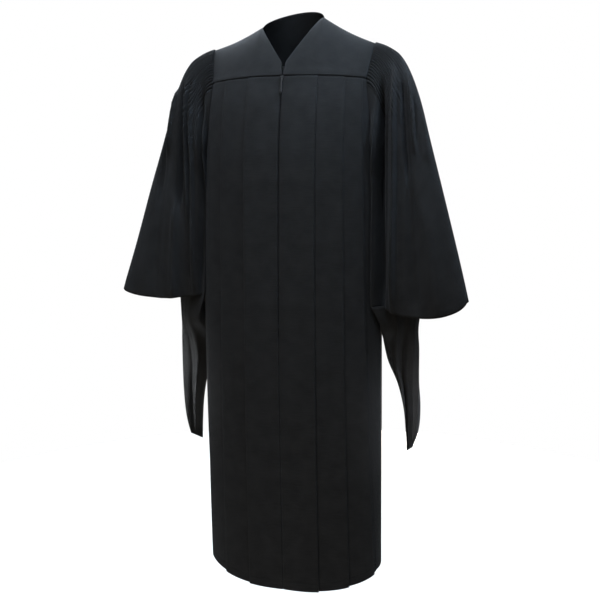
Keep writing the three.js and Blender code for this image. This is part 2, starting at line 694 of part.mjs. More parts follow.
// The slider: a tapered plate over the chain, with two ears that hold the pull's roll
function zipSlider() {
  const { half, high, wall: deep, lug, lugGap, lugOut } = SLIDER;
  const foot = half * 0.62;
  const nose = half * 0.5;
  const body = plate([[-half, 0], [-foot, -high], [foot, -high], [half, 0], [nose, 2], [-nose, 2]], deep);
  const lugs = [-1, 1].map((side) => {
    const ear = new THREE.BoxGeometry(lug, lugOut, 4);
    return ear.translate(side * (lugGap + lug / 2), -deep - lugOut / 2 + 0.4, -3);
  });
  return joined([body, ...lugs]);
}

// The pull: a thin tab that widens to its tip, on a roll that turns between the slider's ears
function zipPull() {
  const { half, long, wall: deep, barrel, sides, tip } = PULL;
  const edge = [[half, 0], [half, -long * 0.55], [tip, -long * 0.8], [tip * 0.7, -long]];
  const otherEdge = edge.map(([x, z]) => [-x, z]).reverse();
  const tab = plate([...edge, ...otherEdge], deep).translate(0, deep / 2, 0);
  const roll = new THREE.CylinderGeometry(barrel, barrel, 2 * (SLIDER.lugGap - SEAM_GAP), sides).rotateZ(QUARTER);
  return joined([tab, roll]);
}

function piece(name, geometry, look) {
  const mesh = new THREE.Mesh(geometry, new THREE.MeshStandardMaterial(look));
  mesh.name = name;
  return mesh;
}

const gown = new THREE.Group();
gown.add(piece("yoke_front_left", frontYoke(1), BLACK_CLOTH));
gown.add(piece("yoke_front_right", frontYoke(-1), BLACK_CLOTH));
gown.add(piece("yoke_back", backYoke(), BLACK_CLOTH));
gown.add(piece("front_left", frontPanel(1), BLACK_CLOTH));
gown.add(piece("front_right", frontPanel(-1), BLACK_CLOTH));
gown.add(piece("back", backPanel(), BLACK_CLOTH));
gown.add(piece("sleeve_left", sleeve(1), BLACK_CLOTH));
gown.add(piece("sleeve_right", sleeve(-1), BLACK_CLOTH));
gown.add(piece("zip", zip(), ZIP_TAPE));

// The slider lies on the chain just below the yoke seam, square to the slope of the chest
const SLIDER_Z = -136;
const PULL_END_Z = SLIDER_Z - 30;
const chest = Math.atan2(centreDepth(SLIDER_Z) - centreDepth(PULL_END_Z), SLIDER_Z - PULL_END_Z);
const closure = new THREE.Group();
closure.position.set(0, centreDepth(SLIDER_Z) - CLOTH / 2 - SEAM_GAP / Math.cos(chest), SLIDER_Z);
closure.rotation.x = -chest;
closure.add(piece("zip_slider", zipSlider(), DARK_METAL));
const pull = piece("zip_pull", zipPull(), DARK_METAL);
pull.position.set(0, -SLIDER.wall - PULL.barrel - SEAM_GAP, -3);
closure.add(pull);
gown.add(closure);

export default gown;
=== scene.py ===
# %% [markdown]
# # A masters graduation gown
# The gown hangs filled out, as on a wearer, with nobody in it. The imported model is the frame: it says where
# every panel starts and ends. This script dresses that frame. Each cloth panel is worked out again from the
# same sizes with a much finer net, so that its pleats can lie folded and its gathers can be narrow.

# %% Load the frame
import math

import bmesh
import bpy
import numpy as np
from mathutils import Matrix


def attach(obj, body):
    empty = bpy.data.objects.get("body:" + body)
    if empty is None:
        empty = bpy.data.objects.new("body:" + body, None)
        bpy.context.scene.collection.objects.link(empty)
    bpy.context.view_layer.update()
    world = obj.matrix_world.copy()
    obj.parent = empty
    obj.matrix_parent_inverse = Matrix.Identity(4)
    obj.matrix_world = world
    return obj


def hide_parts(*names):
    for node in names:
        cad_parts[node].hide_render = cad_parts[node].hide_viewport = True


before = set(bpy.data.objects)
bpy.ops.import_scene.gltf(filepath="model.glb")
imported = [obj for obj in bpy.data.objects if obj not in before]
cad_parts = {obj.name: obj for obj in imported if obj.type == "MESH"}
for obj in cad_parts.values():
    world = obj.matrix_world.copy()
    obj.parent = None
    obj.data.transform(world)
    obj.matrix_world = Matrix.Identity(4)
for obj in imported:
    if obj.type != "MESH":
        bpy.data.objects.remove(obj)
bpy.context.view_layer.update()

# %% [markdown]
# ## Helpers for shapes
# Sizes below are in millimetres, as on a cutting sheet, and become metres when a mesh is made. A garment's
# form changes slowly from one section to the next, so a few measured sections with a smooth curve through
# them describe it. That is easier to correct than a modelled mesh.

# %% Curves and easing
MM = 0.001
QUARTER = math.pi / 2


def mix(a, b, f):
    """a at f 0, b at f 1, and straight between them."""
    return a + (b - a) * f


def ease(a, b, value):
    """0 before a, 1 after b, and between them f*f*(3 - 2f), which starts and stops gently."""
    f = np.clip((np.asarray(value, float) - a) / (b - a), 0, 1)
    return f * f * (3 - 2 * f)


def quarter_drop(f):
    """0 at f 0 and 1 at f 1, as a point on a quarter turn comes down: 1 - cos."""
    return 1 - np.cos(f * QUARTER)


def curve(xs, ys, x):
    """A smooth curve through the points: cubic pieces, each row's slope being that between its neighbours."""
    xs, ys, x = np.asarray(xs, float), np.asarray(ys, float), np.asarray(x, float)
    if xs[0] > xs[-1]:
        xs, ys = xs[::-1], ys[::-1]
    rest = (1,) * (ys.ndim - 1)
    slope = np.empty_like(ys)
    slope[1:-1] = (ys[2:] - ys[:-2]) / (xs[2:] - xs[:-2]).reshape(-1, *rest)
    slope[0] = (ys[1] - ys[0]) / (xs[1] - xs[0])
    slope[-1] = (ys[-1] - ys[-2]) / (xs[-1] - xs[-2])
    i = np.clip(np.searchsorted(xs, x, side="right") - 1, 0, len(xs) - 2)
    span = (xs[i + 1] - xs[i]).reshape(x.shape + rest)
    f = np.clip((x - xs[i]).reshape(x.shape + rest) / span, 0, 1)
    ends = ys[i] * (2 * f**3 - 3 * f**2 + 1) + ys[i + 1] * (3 * f**2 - 2 * f**3)
    return ends + span * (slope[i] * (f**3 - 2 * f**2 + f) + slope[i + 1] * (f**3 - f**2))


def table(columns, rows):
    """A table as one array for each named column."""
    return dict(zip(columns.split(), np.array(rows, float).T))


def bump(across):
    """A smooth hill: 1 at 0, fading to nothing by about 1.5 on each side."""
    return np.exp(-2 * across**2)


print("a hill's height at 0, 0.5 and 1:", [round(float(bump(v)), 2) for v in (0, 0.5, 1)])

# %% Meshes from grids
def grid_faces(rows, columns, closed=False, start=0):
    """Quads between neighbouring points of a grid that is numbered row by row."""
    i = np.arange(rows - 1)[:, None]
    j = np.arange(columns if closed else columns - 1)[None, :]
    k = (j + 1) % columns
    corners = [i * columns + j, (i + 1) * columns + j, (i + 1) * columns + k, i * columns + k]
    return start + np.stack([np.broadcast_to(c, (rows - 1, j.size)) for c in corners], -1).reshape(-1, 4)


def run_lengths(points, axis):
    """How far each point lies along its row or column, measured on the cloth."""
    steps = np.linalg.norm(np.diff(points, axis=axis), axis=-1)
    zero = np.zeros_like(np.take(steps, [0], axis=axis))
    return np.concatenate([zero, np.cumsum(steps, axis=axis)], axis=axis)


def mesh_object(name, points, faces, uv=None):
    """A smooth-shaded object from points in millimetres, with the cloth's own map, and doubles merged."""
    mesh = bpy.data.meshes.new(name)
    mesh.from_pydata((points * MM).tolist(), [], faces.tolist())
    if uv is not None:
        layer = mesh.uv_layers.new(name="cloth")
        loops = np.empty(len(mesh.loops), int)
        mesh.loops.foreach_get("vertex_index", loops)
        layer.data.foreach_set("uv", (uv[loops] * MM).ravel())
    net = bmesh.new()
    net.from_mesh(mesh)
    bmesh.ops.remove_doubles(net, verts=net.verts, dist=0.02 * MM)
    net.to_mesh(mesh)
    net.free()
    mesh.shade_smooth()
    thing = bpy.data.objects.new(name, mesh)
    bpy.context.scene.collection.objects.link(thing)
    return thing


def cloth_object(name, grids, thickness, outward):
    """One cloth piece from grids of points that share edges. Outward says which way its face looks."""
    points, faces, uv = [], [], []
    start = 0
    for grid, closed in grids:
        rows, columns = grid.shape[:2]
        points.append(grid.reshape(-1, 3))
        faces.append(grid_faces(rows, columns, closed, start))
        across, down = run_lengths(grid, 1), run_lengths(grid, 0)
        uv.append(np.stack([across - across.mean(), -down], -1).reshape(-1, 2))
        start += rows * columns
    points, faces, uv = np.concatenate(points), np.concatenate(faces), np.concatenate(uv)
    a, b, c = (points[faces[:, k]] for k in (0, 1, 3))
    normals = np.cross(b - a, c - a)
    if (normals * outward(a)).sum() < 0:
        faces = faces[:, ::-1]
    thing = mesh_object(name, points, faces, uv)
    wall = thing.modifiers.new("cloth wall", "SOLIDIFY")
    wall.thickness = thickness * MM
    wall.offset = 0
    # The inner faces take the piece's second material. On the gown's cloth it is darker, as painted shade inside the
    # gown.
    wall.material_offset = 1
    print(name, len(thing.data.polygons), "quads")
    return thing


# %% [markdown]
# ## The camera and the studio
# The gown was photographed from the front, a little to the wearer's left, at chest height. A wide soft light
# overhead whitens a pale floor, smaller ones near the front make the yoke the lightest part, and two narrow
# ones pick out the sleeves' bags. A sweep behind the gown would show its end from the side, so the floor is a
# disc and the world behind it is white.

# %% Camera
VIEW_TURN = math.radians(14.5)
VIEW_DISTANCE = 1.940
VIEW_HEIGHT = -0.348
VIEW_PITCH = math.radians(9.55)
VIEW_ROLL = math.radians(0.25)
FOCAL_SHARE = 773 / 600
SIDE_SHIFT = 6 / 600

camera = bpy.data.objects.new("camera", bpy.data.cameras.new("camera"))
camera.data.sensor_width = 36
camera.data.lens = 36 * FOCAL_SHARE
camera.data.shift_x = SIDE_SHIFT
camera.location = (VIEW_DISTANCE * math.sin(VIEW_TURN), -VIEW_DISTANCE * math.cos(VIEW_TURN), VIEW_HEIGHT)
camera.rotation_euler = (math.pi / 2 - VIEW_PITCH, VIEW_ROLL, VIEW_TURN)
bpy.context.scene.collection.objects.link(camera)
bpy.context.scene.camera = camera
bpy.context.scene.view_settings.view_transform = "Standard"
print("camera at", [round(v, 3) for v in camera.location])

# %% Floor
FLOOR_Z = -1800
FLOOR_RADIUS = 2300
FLOOR_RINGS = 4
FLOOR_SPOKES = 96


def studio_floor():
    """A flat disc: rings of points at equal angles, from a small ring at the centre to the edge."""
    radius = np.linspace(1, FLOOR_RADIUS, FLOOR_RINGS)[:, None]
    turn = np.linspace(0, 2 * math.pi, FLOOR_SPOKES, endpoint=False)[None, :]
    grid = np.stack(np.broadcast_arrays(radius * np.cos(turn), radius * np.sin(turn), float(FLOOR_Z)), -1)
    return grid.reshape(-1, 3), grid_faces(FLOOR_RINGS, FLOOR_SPOKES, closed=True)


floor = mesh_object("studio_floor", *studio_floor())

# %% Lights
LIGHTS = [
    # name, place, aimed at, size, spread in degrees, watts, colour
    ("ceiling", (0, 0, 5.0), (0, 0.01, 0), 16, 180, 1340, (0.9, 0.95, 1.0)),
    ("yoke", (0.75, -0.35, 1.2), (0.12, -0.05, -0.08), 0.4, 34, 1.8, (0.6, 0.79, 1.0)),
    ("front", (0.12, -0.9, 1.1), (0.02, -0.1, -0.2), 0.6, 180, 37, (0.76, 0.87, 1.0)),
    ("low front", (-0.2, -2.4, -1.3), (0, 0, -0.95), 1.0, 180, 20, (1.0, 0.86, 0.68)),
    ("right bag", (-1.5, -1.1, -0.7), (-0.33, 0.03, -0.9), 0.2, 13, 1.0, (0.95, 0.98, 1.0)),
    ("left bag", (1.1, -1.5, -0.7), (0.34, 0.03, -0.95), 0.2, 13, 0.55, (0.97, 0.98, 1.0)),
    ("behind", (-0.5, 0.95, 1.1), (0, 0.1, -0.3), 0.6, 180, 40, (0.8, 0.9, 1.0)),
    ("low behind", (0.3, 2.4, -1.3), (0, 0, -0.95), 1.0, 180, 22, (1.0, 0.9, 0.78)),
]


def area_light(name, place, aim, size, spread, watts, colour):
    """A square soft light that looks at a point."""
    lamp = bpy.data.lights.new(name, "AREA")
    lamp.size = size
    lamp.spread = math.radians(spread)
    lamp.energy = watts
    lamp.color = colour
    thing = bpy.data.objects.new(name, lamp)
    thing.location = place
    direction = np.subtract(aim, place)
    thing.rotation_euler = (
        math.acos(-direction[2] / np.linalg.norm(direction)),
        0,
        math.atan2(direction[1], direction[0]) - QUARTER,
    )
    bpy.context.scene.collection.objects.link(thing)


for light in LIGHTS:
    area_light(*light)
WORLD_SEEN = 1.0
WORLD_LIGHT = 0.03


def studio_world():
    """White where the camera looks past the floor, and almost no light of its own on the cloth."""
    world = bpy.data.worlds.new("studio")
    world.use_nodes = True
    nodes, links = world.node_tree.nodes, world.node_tree.links
    seen = nodes["Background"]
    seen.inputs["Color"].default_value = (1, 1, 1, 1)
    seen.inputs["Strength"].default_value = WORLD_SEEN
    dim = nodes.new("ShaderNodeBackground")
    dim.inputs["Strength"].default_value = WORLD_LIGHT
    path = nodes.new("ShaderNodeLightPath")
    choice = nodes.new("ShaderNodeMixShader")
    links.new(path.outputs["Is Camera Ray"], choice.inputs["Fac"])
    links.new(dim.outputs["Background"], choice.inputs[1])
    links.new(seen.outputs["Background"], choice.inputs[2])
    links.new(choice.outputs["Shader"], nodes["World Output"].inputs["Surface"])
    return world


bpy.context.scene.world = studio_world()
print(len(LIGHTS), "soft lights")

# %% [markdown]
# ## The gown's sizes
# These are the sizes that the panels were cut to and hang at. The body is a tube whose sections are
# squarish ovals: half width, how far forward and back they reach, and where they are widest.

# %% Driving sizes
GOWN_LENGTH = 1374
HEM_SIDE_LIFT = 28
NECK_HALF = 75
NECK_RISE = {"left": 8, "right": -8}
BACK_NECK_RISE = 34
BACK_NECK_DEPTH = 64
SHOULDER_X = 199
SHOULDER_Z = -56
NECK_RIDGE_SAG = 5
YOKE_SLOPE = 0.5
YOKE_SEAM_CENTRE = -133
YOKE_SEAM_CORNER = -140
YOKE_SEAM_BACK = -150
YOKE_CORNER_X = 187
UNDERARM_Z = -340
V_BOTTOM = -107
YOKE_CORNER_SPREAD = 30
SEAM_GAP = 0.3
CLOTH = 1.0
CAD_CLOTH = 1.6
ZIP_TOP = -112
ZIP_END = -720
ZIP_EDGE = 1.5
ZIP_CLOSED = 0.15

BODY = table("z half front back widest square", [
    (-133, 205, -103, 92, 0, 2.4),
    (-200, 210, -124, 102, -4, 2.4),
    (-275, 213, -138, 102, -8, 2.35),
    (-340, 216, -145, 100, -12, 2.3),
    (-500, 221, -151, 94, -22, 2.2),
    (-700, 225, -157, 92, -30, 2.1),
    (-1000, 226, -163, 96, -34, 2.1),
    (-1390, 223, -170, 102, -35, 2.1),
])
HEM_HALF = BODY["half"][-1]
HEM_DRIFT = 12


def drift(z):
    """The skirt hangs a touch toward the wearer's left: nothing at the underarm, 12 mm at the hem."""
    return HEM_DRIFT * np.clip((UNDERARM_Z - z) / (GOWN_LENGTH + UNDERARM_Z), 0, 1) ** 2


def body_point(z, turn, rise, face, side):
    """A point of the body: x = half * sin(turn)^(2/square), y = widest + depth * cos(turn)^(2/square)."""
    z, turn, rise = np.broadcast_arrays(z, turn, rise)
    power = 2 / curve(BODY["z"], BODY["square"], z)
    widest = curve(BODY["z"], BODY["widest"], z)
    depth = curve(BODY["z"], BODY[face], z) - widest
    sine = np.clip(np.sin(turn * QUARTER), 0, 1)
    cosine = np.clip(np.cos(turn * QUARTER), 0, 1)
    x = curve(BODY["z"], BODY["half"], z) * sine**power + sine * rise
    y = widest + depth * cosine**power + np.sign(depth) * cosine * rise
    return np.stack([side * x + drift(z), y, z], -1)


def turn_at(z, x):
    """The turn at which the body's section reaches x, from 0 at the centre to 1 at the side."""
    half = curve(BODY["z"], BODY["half"], z)
    square = curve(BODY["z"], BODY["square"], z)
    return np.arcsin(np.clip(x / half, 0, 1) ** (square / 2)) / QUARTER


def seam_height(x, face):
    """The seam between yoke and body dips a little toward the armhole in front, and is level behind."""
    x = np.asarray(x, float)
    if face == "back":
        return np.full(x.shape, float(YOKE_SEAM_BACK))
    return mix(YOKE_SEAM_CENTRE, YOKE_SEAM_CORNER, (x / YOKE_CORNER_X) ** 2)


def armhole_below(f, face):
    """The armhole's edge below the yoke, a quarter oval from the underarm (f 0) to the yoke corner (f 1)."""
    corner = seam_height(YOKE_CORNER_X, face)
    start = turn_at(corner, YOKE_CORNER_X)
    z = mix(UNDERARM_Z, corner, quarter_drop(f))
    return z, mix(1, start, np.sin(f * QUARTER))


def hem_height(x):
    """The hem rises toward the side seams as the cube of the distance from the centre."""
    return -GOWN_LENGTH + HEM_SIDE_LIFT * np.clip(np.abs(x) / HEM_HALF, 0, 1) ** 3


print("body half width at the hem:", HEM_HALF)

# %% [markdown]
# ## Fronts and back, with pressed pleats
# A knife pleat is a flat fold: the cloth runs out to an edge, turns back under itself and then runs on. A
# painted line would stay flat in side light, so the cloth is really folded here. Its section is a list of
# places along the body with a height above it, and the same section runs from the yoke to the hem.

# %% The section of a pleated half
PLEAT_UNDER = 14
PLEAT_RISE = 5.4
FRONT_PLEATS = table("top hem", [(81, 86), (141, 156), (178, 210)])
BACK_PLEATS = table("top hem", [(60, 66), (118, 132), (168, 190)])
SEAM_DEPTH = 1.9
PLEAT_DIP = 4.2
EDGE_ROLL = 2.2
EDGE_PARTS = [0, 0.012, 0.027, 0.045, 0.08]
FLUTE_PARTS = np.concatenate([EDGE_PARTS, np.linspace(0.14, 1, 10, endpoint=False)])
FOLD_STEPS = 5
ARMHOLE_STEPS = 26


def pleat_section(pleats):
    """Columns of one half: which pleat they start from, how far to the next, and the shift and rise there."""
    knots, parts, shifts, rises = [], [], [], []
    bend = np.linspace(QUARTER, -QUARTER, FOLD_STEPS)
    layer = PLEAT_RISE / 2
    radius = layer / 2
    count = len(pleats["top"])

    def add(knot, part, shift, rise):
        part, shift, rise = np.broadcast_arrays(np.atleast_1d(part), shift, rise)
        knots.append(np.full(part.shape, knot))
        parts.append(part)
        shifts.append(shift)
        rises.append(rise)

    for k in range(count):
        part = FLUTE_PARTS[1:] if k else FLUTE_PARTS
        dip = (PLEAT_DIP if k else EDGE_ROLL) * (1 - ease(0, 0.045 if k else 0.03, part))
        add(k, part, 0, PLEAT_RISE * part - dip)
        add(k + 1, 0, radius * np.cos(bend), PLEAT_RISE - radius + radius * np.sin(bend))
        under = np.linspace(0, -PLEAT_UNDER, 6)[1:-1]
        add(k + 1, 0, under, layer)
        add(k + 1, 0, -PLEAT_UNDER - radius * np.cos(bend), radius + radius * np.sin(bend))
        add(k + 1, 0, np.linspace(-PLEAT_UNDER, 0, 4)[1:], np.linspace(0, -PLEAT_DIP, 4)[1:])
    last = np.array([0.1, 0.3, 0.6, 1])
    add(count, last, 0, -PLEAT_DIP * (1 - ease(0, 0.4, last)))
    columns = [np.concatenate(values) for values in (knots, parts, shifts, rises)]
    return columns[0].astype(int), *columns[1:]


SIDE_TUCK = 1.3
SIDE_LAP = 4
HEM_DEPTH = 22
HEM_GROOVE = 0.5
ALLOWANCE = 4
ALLOWANCE_IN = 1.5
# Rows are shares of the cloth's run from the yoke seam to the hem. They crowd at the seam and at the hem's groove
SKIRT_RUN = 1240
GROOVE_WIDE = 1.6
SEWN_FLAT = 0.45
SEAM_ROWS = np.array([-ALLOWANCE / SKIRT_RUN, 0, 0.001, 0.002, 0.003, 0.004])
HEM_ROWS = 1 - np.array([26, 24.5, 23.4, 22.6, HEM_DEPTH, 21.4, 20.6, 19.5, 14, 8, 3, 1, 0]) / SKIRT_RUN
UPPER_ROWS = np.linspace(0.005, 0.06, 14, endpoint=False)
MIDDLE_ROWS = np.linspace(0.06, HEM_ROWS[0], 124, endpoint=False)
BODY_ROWS = np.concatenate([SEAM_ROWS, UPPER_ROWS, MIDDLE_ROWS, HEM_ROWS])
HEM_LINE = int(np.argmin(np.abs(BODY_ROWS - HEM_ROWS[4])))


def body_half(pleats, face, side, centre):
    """One half of a panel as a grid: pleated columns to the yoke corner, then columns from the armhole."""
    knot, part, shift, rise = pleat_section(pleats)
    last = len(pleats["top"]) + 1
    top_x = np.array([0, *pleats["top"], YOKE_CORNER_X])
    hem_x = np.array([0, *pleats["hem"], YOKE_CORNER_X + YOKE_CORNER_SPREAD])
    down = BODY_ROWS[:, None]
    from_x = mix(top_x[knot], hem_x[knot], down)
    following = np.minimum(knot + 1, last)
    to_x = mix(top_x[following], hem_x[following], down)
    rough_x = mix(from_x, to_x, part)
    z = mix(seam_height(rough_x, face) - SEAM_GAP / 2, hem_height(rough_x), down)
    turn = mix(turn_at(z, from_x), turn_at(z, to_x), part)
    turn = turn + shift / (curve(BODY["z"], BODY["half"], z) * QUARTER)
    sewn_flat = mix(SEWN_FLAT, 1, ease(0, 0.05, down))
    hem_groove = HEM_GROOVE * bump((1 - down) * SKIRT_RUN / GROOVE_WIDE - HEM_DEPTH / GROOVE_WIDE)
    into_seam = SEAM_DEPTH * (1 - ease(0, 0.004, down)) + ALLOWANCE_IN * (down < 0) + hem_groove
    pleated = body_point(z, turn, rise * sewn_flat - into_seam, face, side)
    pleated[:, 0, 0] = side * centre(pleated[:, 0, 2]) + drift(pleated[:, 0, 2])
    if face == "back":
        pleated[:, 0, 1] = pleated[:, 2, 1]
        pleated[:, 1, 1] = pleated[:, 2, 1]

    f = np.linspace(1, 0, ARMHOLE_STEPS + 1)[1:]
    top_z, top_turn = armhole_below(f, face)
    z = mix(top_z, hem_height(HEM_HALF), np.where(down < 0, 0.1 * down, down))
    corner_turn = turn_at(z, mix(top_x[-1], hem_x[-1], down))
    start_turn = armhole_below(1, face)[1]
    share = (1 - top_turn) / (1 - start_turn)
    side_turn = mix(1, mix(start_turn, corner_turn, down), share)
    plain = body_point(z, side_turn, -hem_groove, face, side)
    plain[:, -1, 1] += SEAM_GAP / 2 * (-1 if face == "front" else 1)
    if face == "back":
        plain[:, -1, 0] -= side * SIDE_TUCK
        plain[:, -1, 1] -= SIDE_LAP
    return np.concatenate([pleated, plain], axis=1)


SLIT_END = -125
SLIT_HALF = 3.0
ZIP_CLOSES_FROM = 4
ZIP_CLOSES_TO = 30


def slit(z):
    """How far the open zip parts the front edges: an almond from the V's bottom to just above the slider."""
    return SLIT_HALF * np.sin(math.pi * np.clip((z - SLIT_END) / (V_BOTTOM + 6 - SLIT_END), 0, 1))


def zip_edge(z):
    """The front edge stands off the centre along the zip, and closes to the centre seam just below it."""
    return mix(ZIP_EDGE, ZIP_CLOSED, ease(-ZIP_END + ZIP_CLOSES_FROM, -ZIP_END + ZIP_CLOSES_TO, -z))


def on_centre(z):
    """The back has no seam at the centre."""
    return np.zeros_like(z)


def from_axis(points):
    """Away from the gown's upright axis."""
    return points * [1, 1, 0]


front_left = cloth_object(
    "gown_front_left", [(body_half(FRONT_PLEATS, "front", 1, zip_edge), False)], CLOTH, from_axis)
front_right = cloth_object(
    "gown_front_right", [(body_half(FRONT_PLEATS, "front", -1, zip_edge), False)], CLOTH, from_axis)
back_halves = [body_half(BACK_PLEATS, "back", side, on_centre) for side in (1, -1)]
back_grid = np.concatenate([back_halves[0][:, ::-1], back_halves[1][:, 1:]], axis=1)
gown_back = cloth_object("gown_back", [(back_grid, False)], CLOTH, from_axis)

# %% [markdown]
# ## The yoke
# The yoke is the flat, pointed piece over the shoulders that carries the whole gown. Its front pieces meet
# at the zip below the V. From the shoulder ridge to the yoke seam it starts as a quarter turn and ends as a
# slope, so it catches the light from above while the pleated fronts below hang straight.

# %% Yoke
def ridge_height(x, side):
    """The shoulder's ridge: straight from neck to armhole, with a sine's sag between them."""
    rise = np.where(side > 0, NECK_RISE["left"], NECK_RISE["right"])
    f = np.clip((x - NECK_HALF) / (SHOULDER_X - NECK_HALF), 0, 1)
    return mix(rise, SHOULDER_Z, f) - NECK_RIDGE_SAG * np.sin(math.pi * f)


def yoke_lean(fall):
    """How far out the yoke has come at a fall: half of it as sin(fall), half as 1 - cos(fall)."""
    return mix(np.sin(fall * QUARTER), quarter_drop(fall), YOKE_SLOPE)


def yoke_point(x, fall, face, side):
    """A yoke point: from the ridge (fall 0) to the seam (fall 1), half a quarter turn and half a slope."""
    x, fall = np.broadcast_arrays(x, fall)
    seam = seam_height(x, face) + SEAM_GAP / 2
    ridge = ridge_height(x, side)
    foot = body_point(seam, turn_at(seam, x), 0, face, 1)
    y = foot[..., 1] * yoke_lean(fall)
    z = mix(ridge, seam, quarter_drop(fall))
    return np.stack([side * x, y, z], -1)


def yoke_end(fall):
    """How far out the yoke reaches: from the shoulder's end to the yoke corner."""
    return mix(SHOULDER_X, YOKE_CORNER_X, quarter_drop(fall))


YOKE_STEPS = 60
YOKE_OVER = 1.2


def front_yoke(side):
    """Columns from the V's edge to the armhole, rows from the ridge to the seam, one row at the V's bottom."""
    ridge = ridge_height(0, side)
    v_fall = np.arccos(1 - (ridge - V_BOTTOM) / (ridge - YOKE_SEAM_CENTRE)) / QUARTER
    falls = np.concatenate([np.linspace(0, v_fall, 44), np.linspace(v_fall, 1, 12)[1:]])[:, None]
    drop = quarter_drop(falls) / quarter_drop(v_fall)
    inner = mix(NECK_HALF, ZIP_EDGE, np.clip(drop, 0, 1))
    height = ridge - drop * (ridge - V_BOTTOM)
    inner = inner + slit(height)
    x = mix(inner, yoke_end(falls), np.linspace(0, 1, YOKE_STEPS))
    grid = yoke_point(x, falls, "front", side)
    grid[..., 1] -= SEAM_GAP / 2 + YOKE_OVER * ease(0.9, 0.97, falls)
    return grid


def back_yoke():
    """One piece across both shoulders. Between the neck points its upper edge rises and falls as an arch."""
    falls = np.linspace(0, 1, 40)[:, None]
    x = np.linspace(-1, 1, 2 * YOKE_STEPS + 1) * yoke_end(falls)
    side = np.where(x < 0, -1, 1)
    width = np.abs(x)
    grid = yoke_point(width, falls, "back", side)
    arch = np.cos(np.clip(width / NECK_HALF, 0, 1) * QUARTER)
    level = mix(NECK_RISE["right"], NECK_RISE["left"], (x / NECK_HALF + 1) / 2)
    foot = yoke_point(width, 1, "back", side)
    neck_y = mix(BACK_NECK_DEPTH * arch**0.8, foot[..., 1], yoke_lean(falls))
    neck_drop = mix(quarter_drop(falls), falls, arch)
    neck_z = mix(level + BACK_NECK_RISE * arch**0.55, foot[..., 2], neck_drop)
    in_neck = width < NECK_HALF
    grid[..., 1] = np.where(in_neck, neck_y, grid[..., 1]) + SEAM_GAP / 2
    grid[..., 2] = np.where(in_neck, neck_z, grid[..., 2])
    return grid


CHEST_CENTRE = (0, 0, -200)


def from_chest(points):
    """Away from a point inside the chest."""
    return points - CHEST_CENTRE


yoke_left = cloth_object("gown_yoke_front_left", [(front_yoke(1), False)], CLOTH, from_chest)
yoke_right = cloth_object("gown_yoke_front_right", [(front_yoke(-1), False)], CLOTH, from_chest)
yoke_back = cloth_object("gown_yoke_back", [(back_yoke(), False)], CLOTH, from_chest)

# %% [markdown]
# ## Sleeves
# A masters sleeve is a wide bell that is gathered into the armhole. Behind its cuff, the same cloth goes on
# down as a long closed bag. The bell is worked out as rings from the armhole to the cuff, and the bag as
# levels that go on from the back of the last ring.

# %% Sleeve sizes
SLEEVE = table("t outX outY outZ inX inY inZ front back", [
    (0.0, 199, 0, -56, 219, -12, -340, 57, 55),
    (0.06, 240, 0, -72, 221, -15, -350, 64, 62),
    (0.14, 274, 0, -107, 222, -22, -368, 68, 68),
    (0.24, 305, -3, -178, 223, -32, -398, 70, 74),
    (0.38, 334, -17, -278, 224, -45, -445, 70, 80),
    (0.52, 363, -37, -382, 225, -54, -500, 70, 84),
    (0.68, 391, -54, -490, 227, -58, -562, 68, 86),
    (0.84, 416, -72, -590, 228, -60, -615, 64, 86),
    (1.0, 431, -82, -652, 229, -60, -650, 60, 86),
])
BAG = table("inX inY inZ outX outY outZ back front", [
    (232, -70, -720, 313, 14, -728, 34, 16),
    (231, -6, -770, 316, 17, -790, 46, 16),
    (238, 36, -828, 317, 20, -860, 42, 14),
    (261, 62, -892, 317, 24, -925, 34, 12),
    (277, 74, -960, 315, 31, -985, 26, 10),
    (284, 80, -1025, 311, 38, -1025, 17, 8),
    (287, 84, -1082, 306, 46, -1056, 0, 0),
])
SIDES = {"left": 1, "right": -1}
# The two sleeves hang unlike each other: the cuff's droop in front and lift at its outer end, how much
# slimmer the middle is, how far the bag's tip stands out and hangs down, and how much its top swells
CUFF_DROOP = {"left": 36, "right": 12}
CUFF_LIFT = {"left": 0, "right": 9}
TRIM = {"left": 2, "right": 5}
INNER_BACK = 26
BAG_OUT = {"left": -4, "right": 5}
BAG_DROP = {"left": 0, "right": 12}
BAG_SWELL = {"left": 0, "right": 11}
# Folds down the bags' front walls: the side, place across at the top and at the tip, width, and height
BAG_FOLDS = table("side across lowAcross wide high", [
    (1, 0.5, 0.42, 0.18, -22),
    (1, 0.84, 0.86, 0.1, 9),
    (1, 0.2, 0.14, 0.14, -12),
    (1, 0.34, 0.26, 0.08, 8),
    (-1, 0.25, 0.6, 0.14, 11),
    (-1, 0.55, 0.84, 0.1, -5),
])
# The front laps over the body's side in one long fold: its place in degrees, its width, and how far it
# reaches inward, at the head and below it, and forward
LAP = {"head_at": 124, "at": 152, "head_wide": 36, "wide": 16, "head_in": 15, "in": 24, "ahead": 28}
YOKE_SHARE = 66
# How many half walls the sleeve's seam stands off the armhole, on the shoulder and below the yoke
OFF_SHOULDER = 0.6
OFF_BODY = 1.1
GATHER_COUNT = 22
GATHER_TO = 74
GATHER_HIGH = 6.6
FOLD_SHARE = 1.35
FAN = 0.97
COLUMNS_A_GATHER = 7
PLAIN_COLUMNS = 62
SLEEVE_ROWS = np.concatenate([np.linspace(0, 0.2, 32, endpoint=False), np.linspace(0.2, 1, 38)])

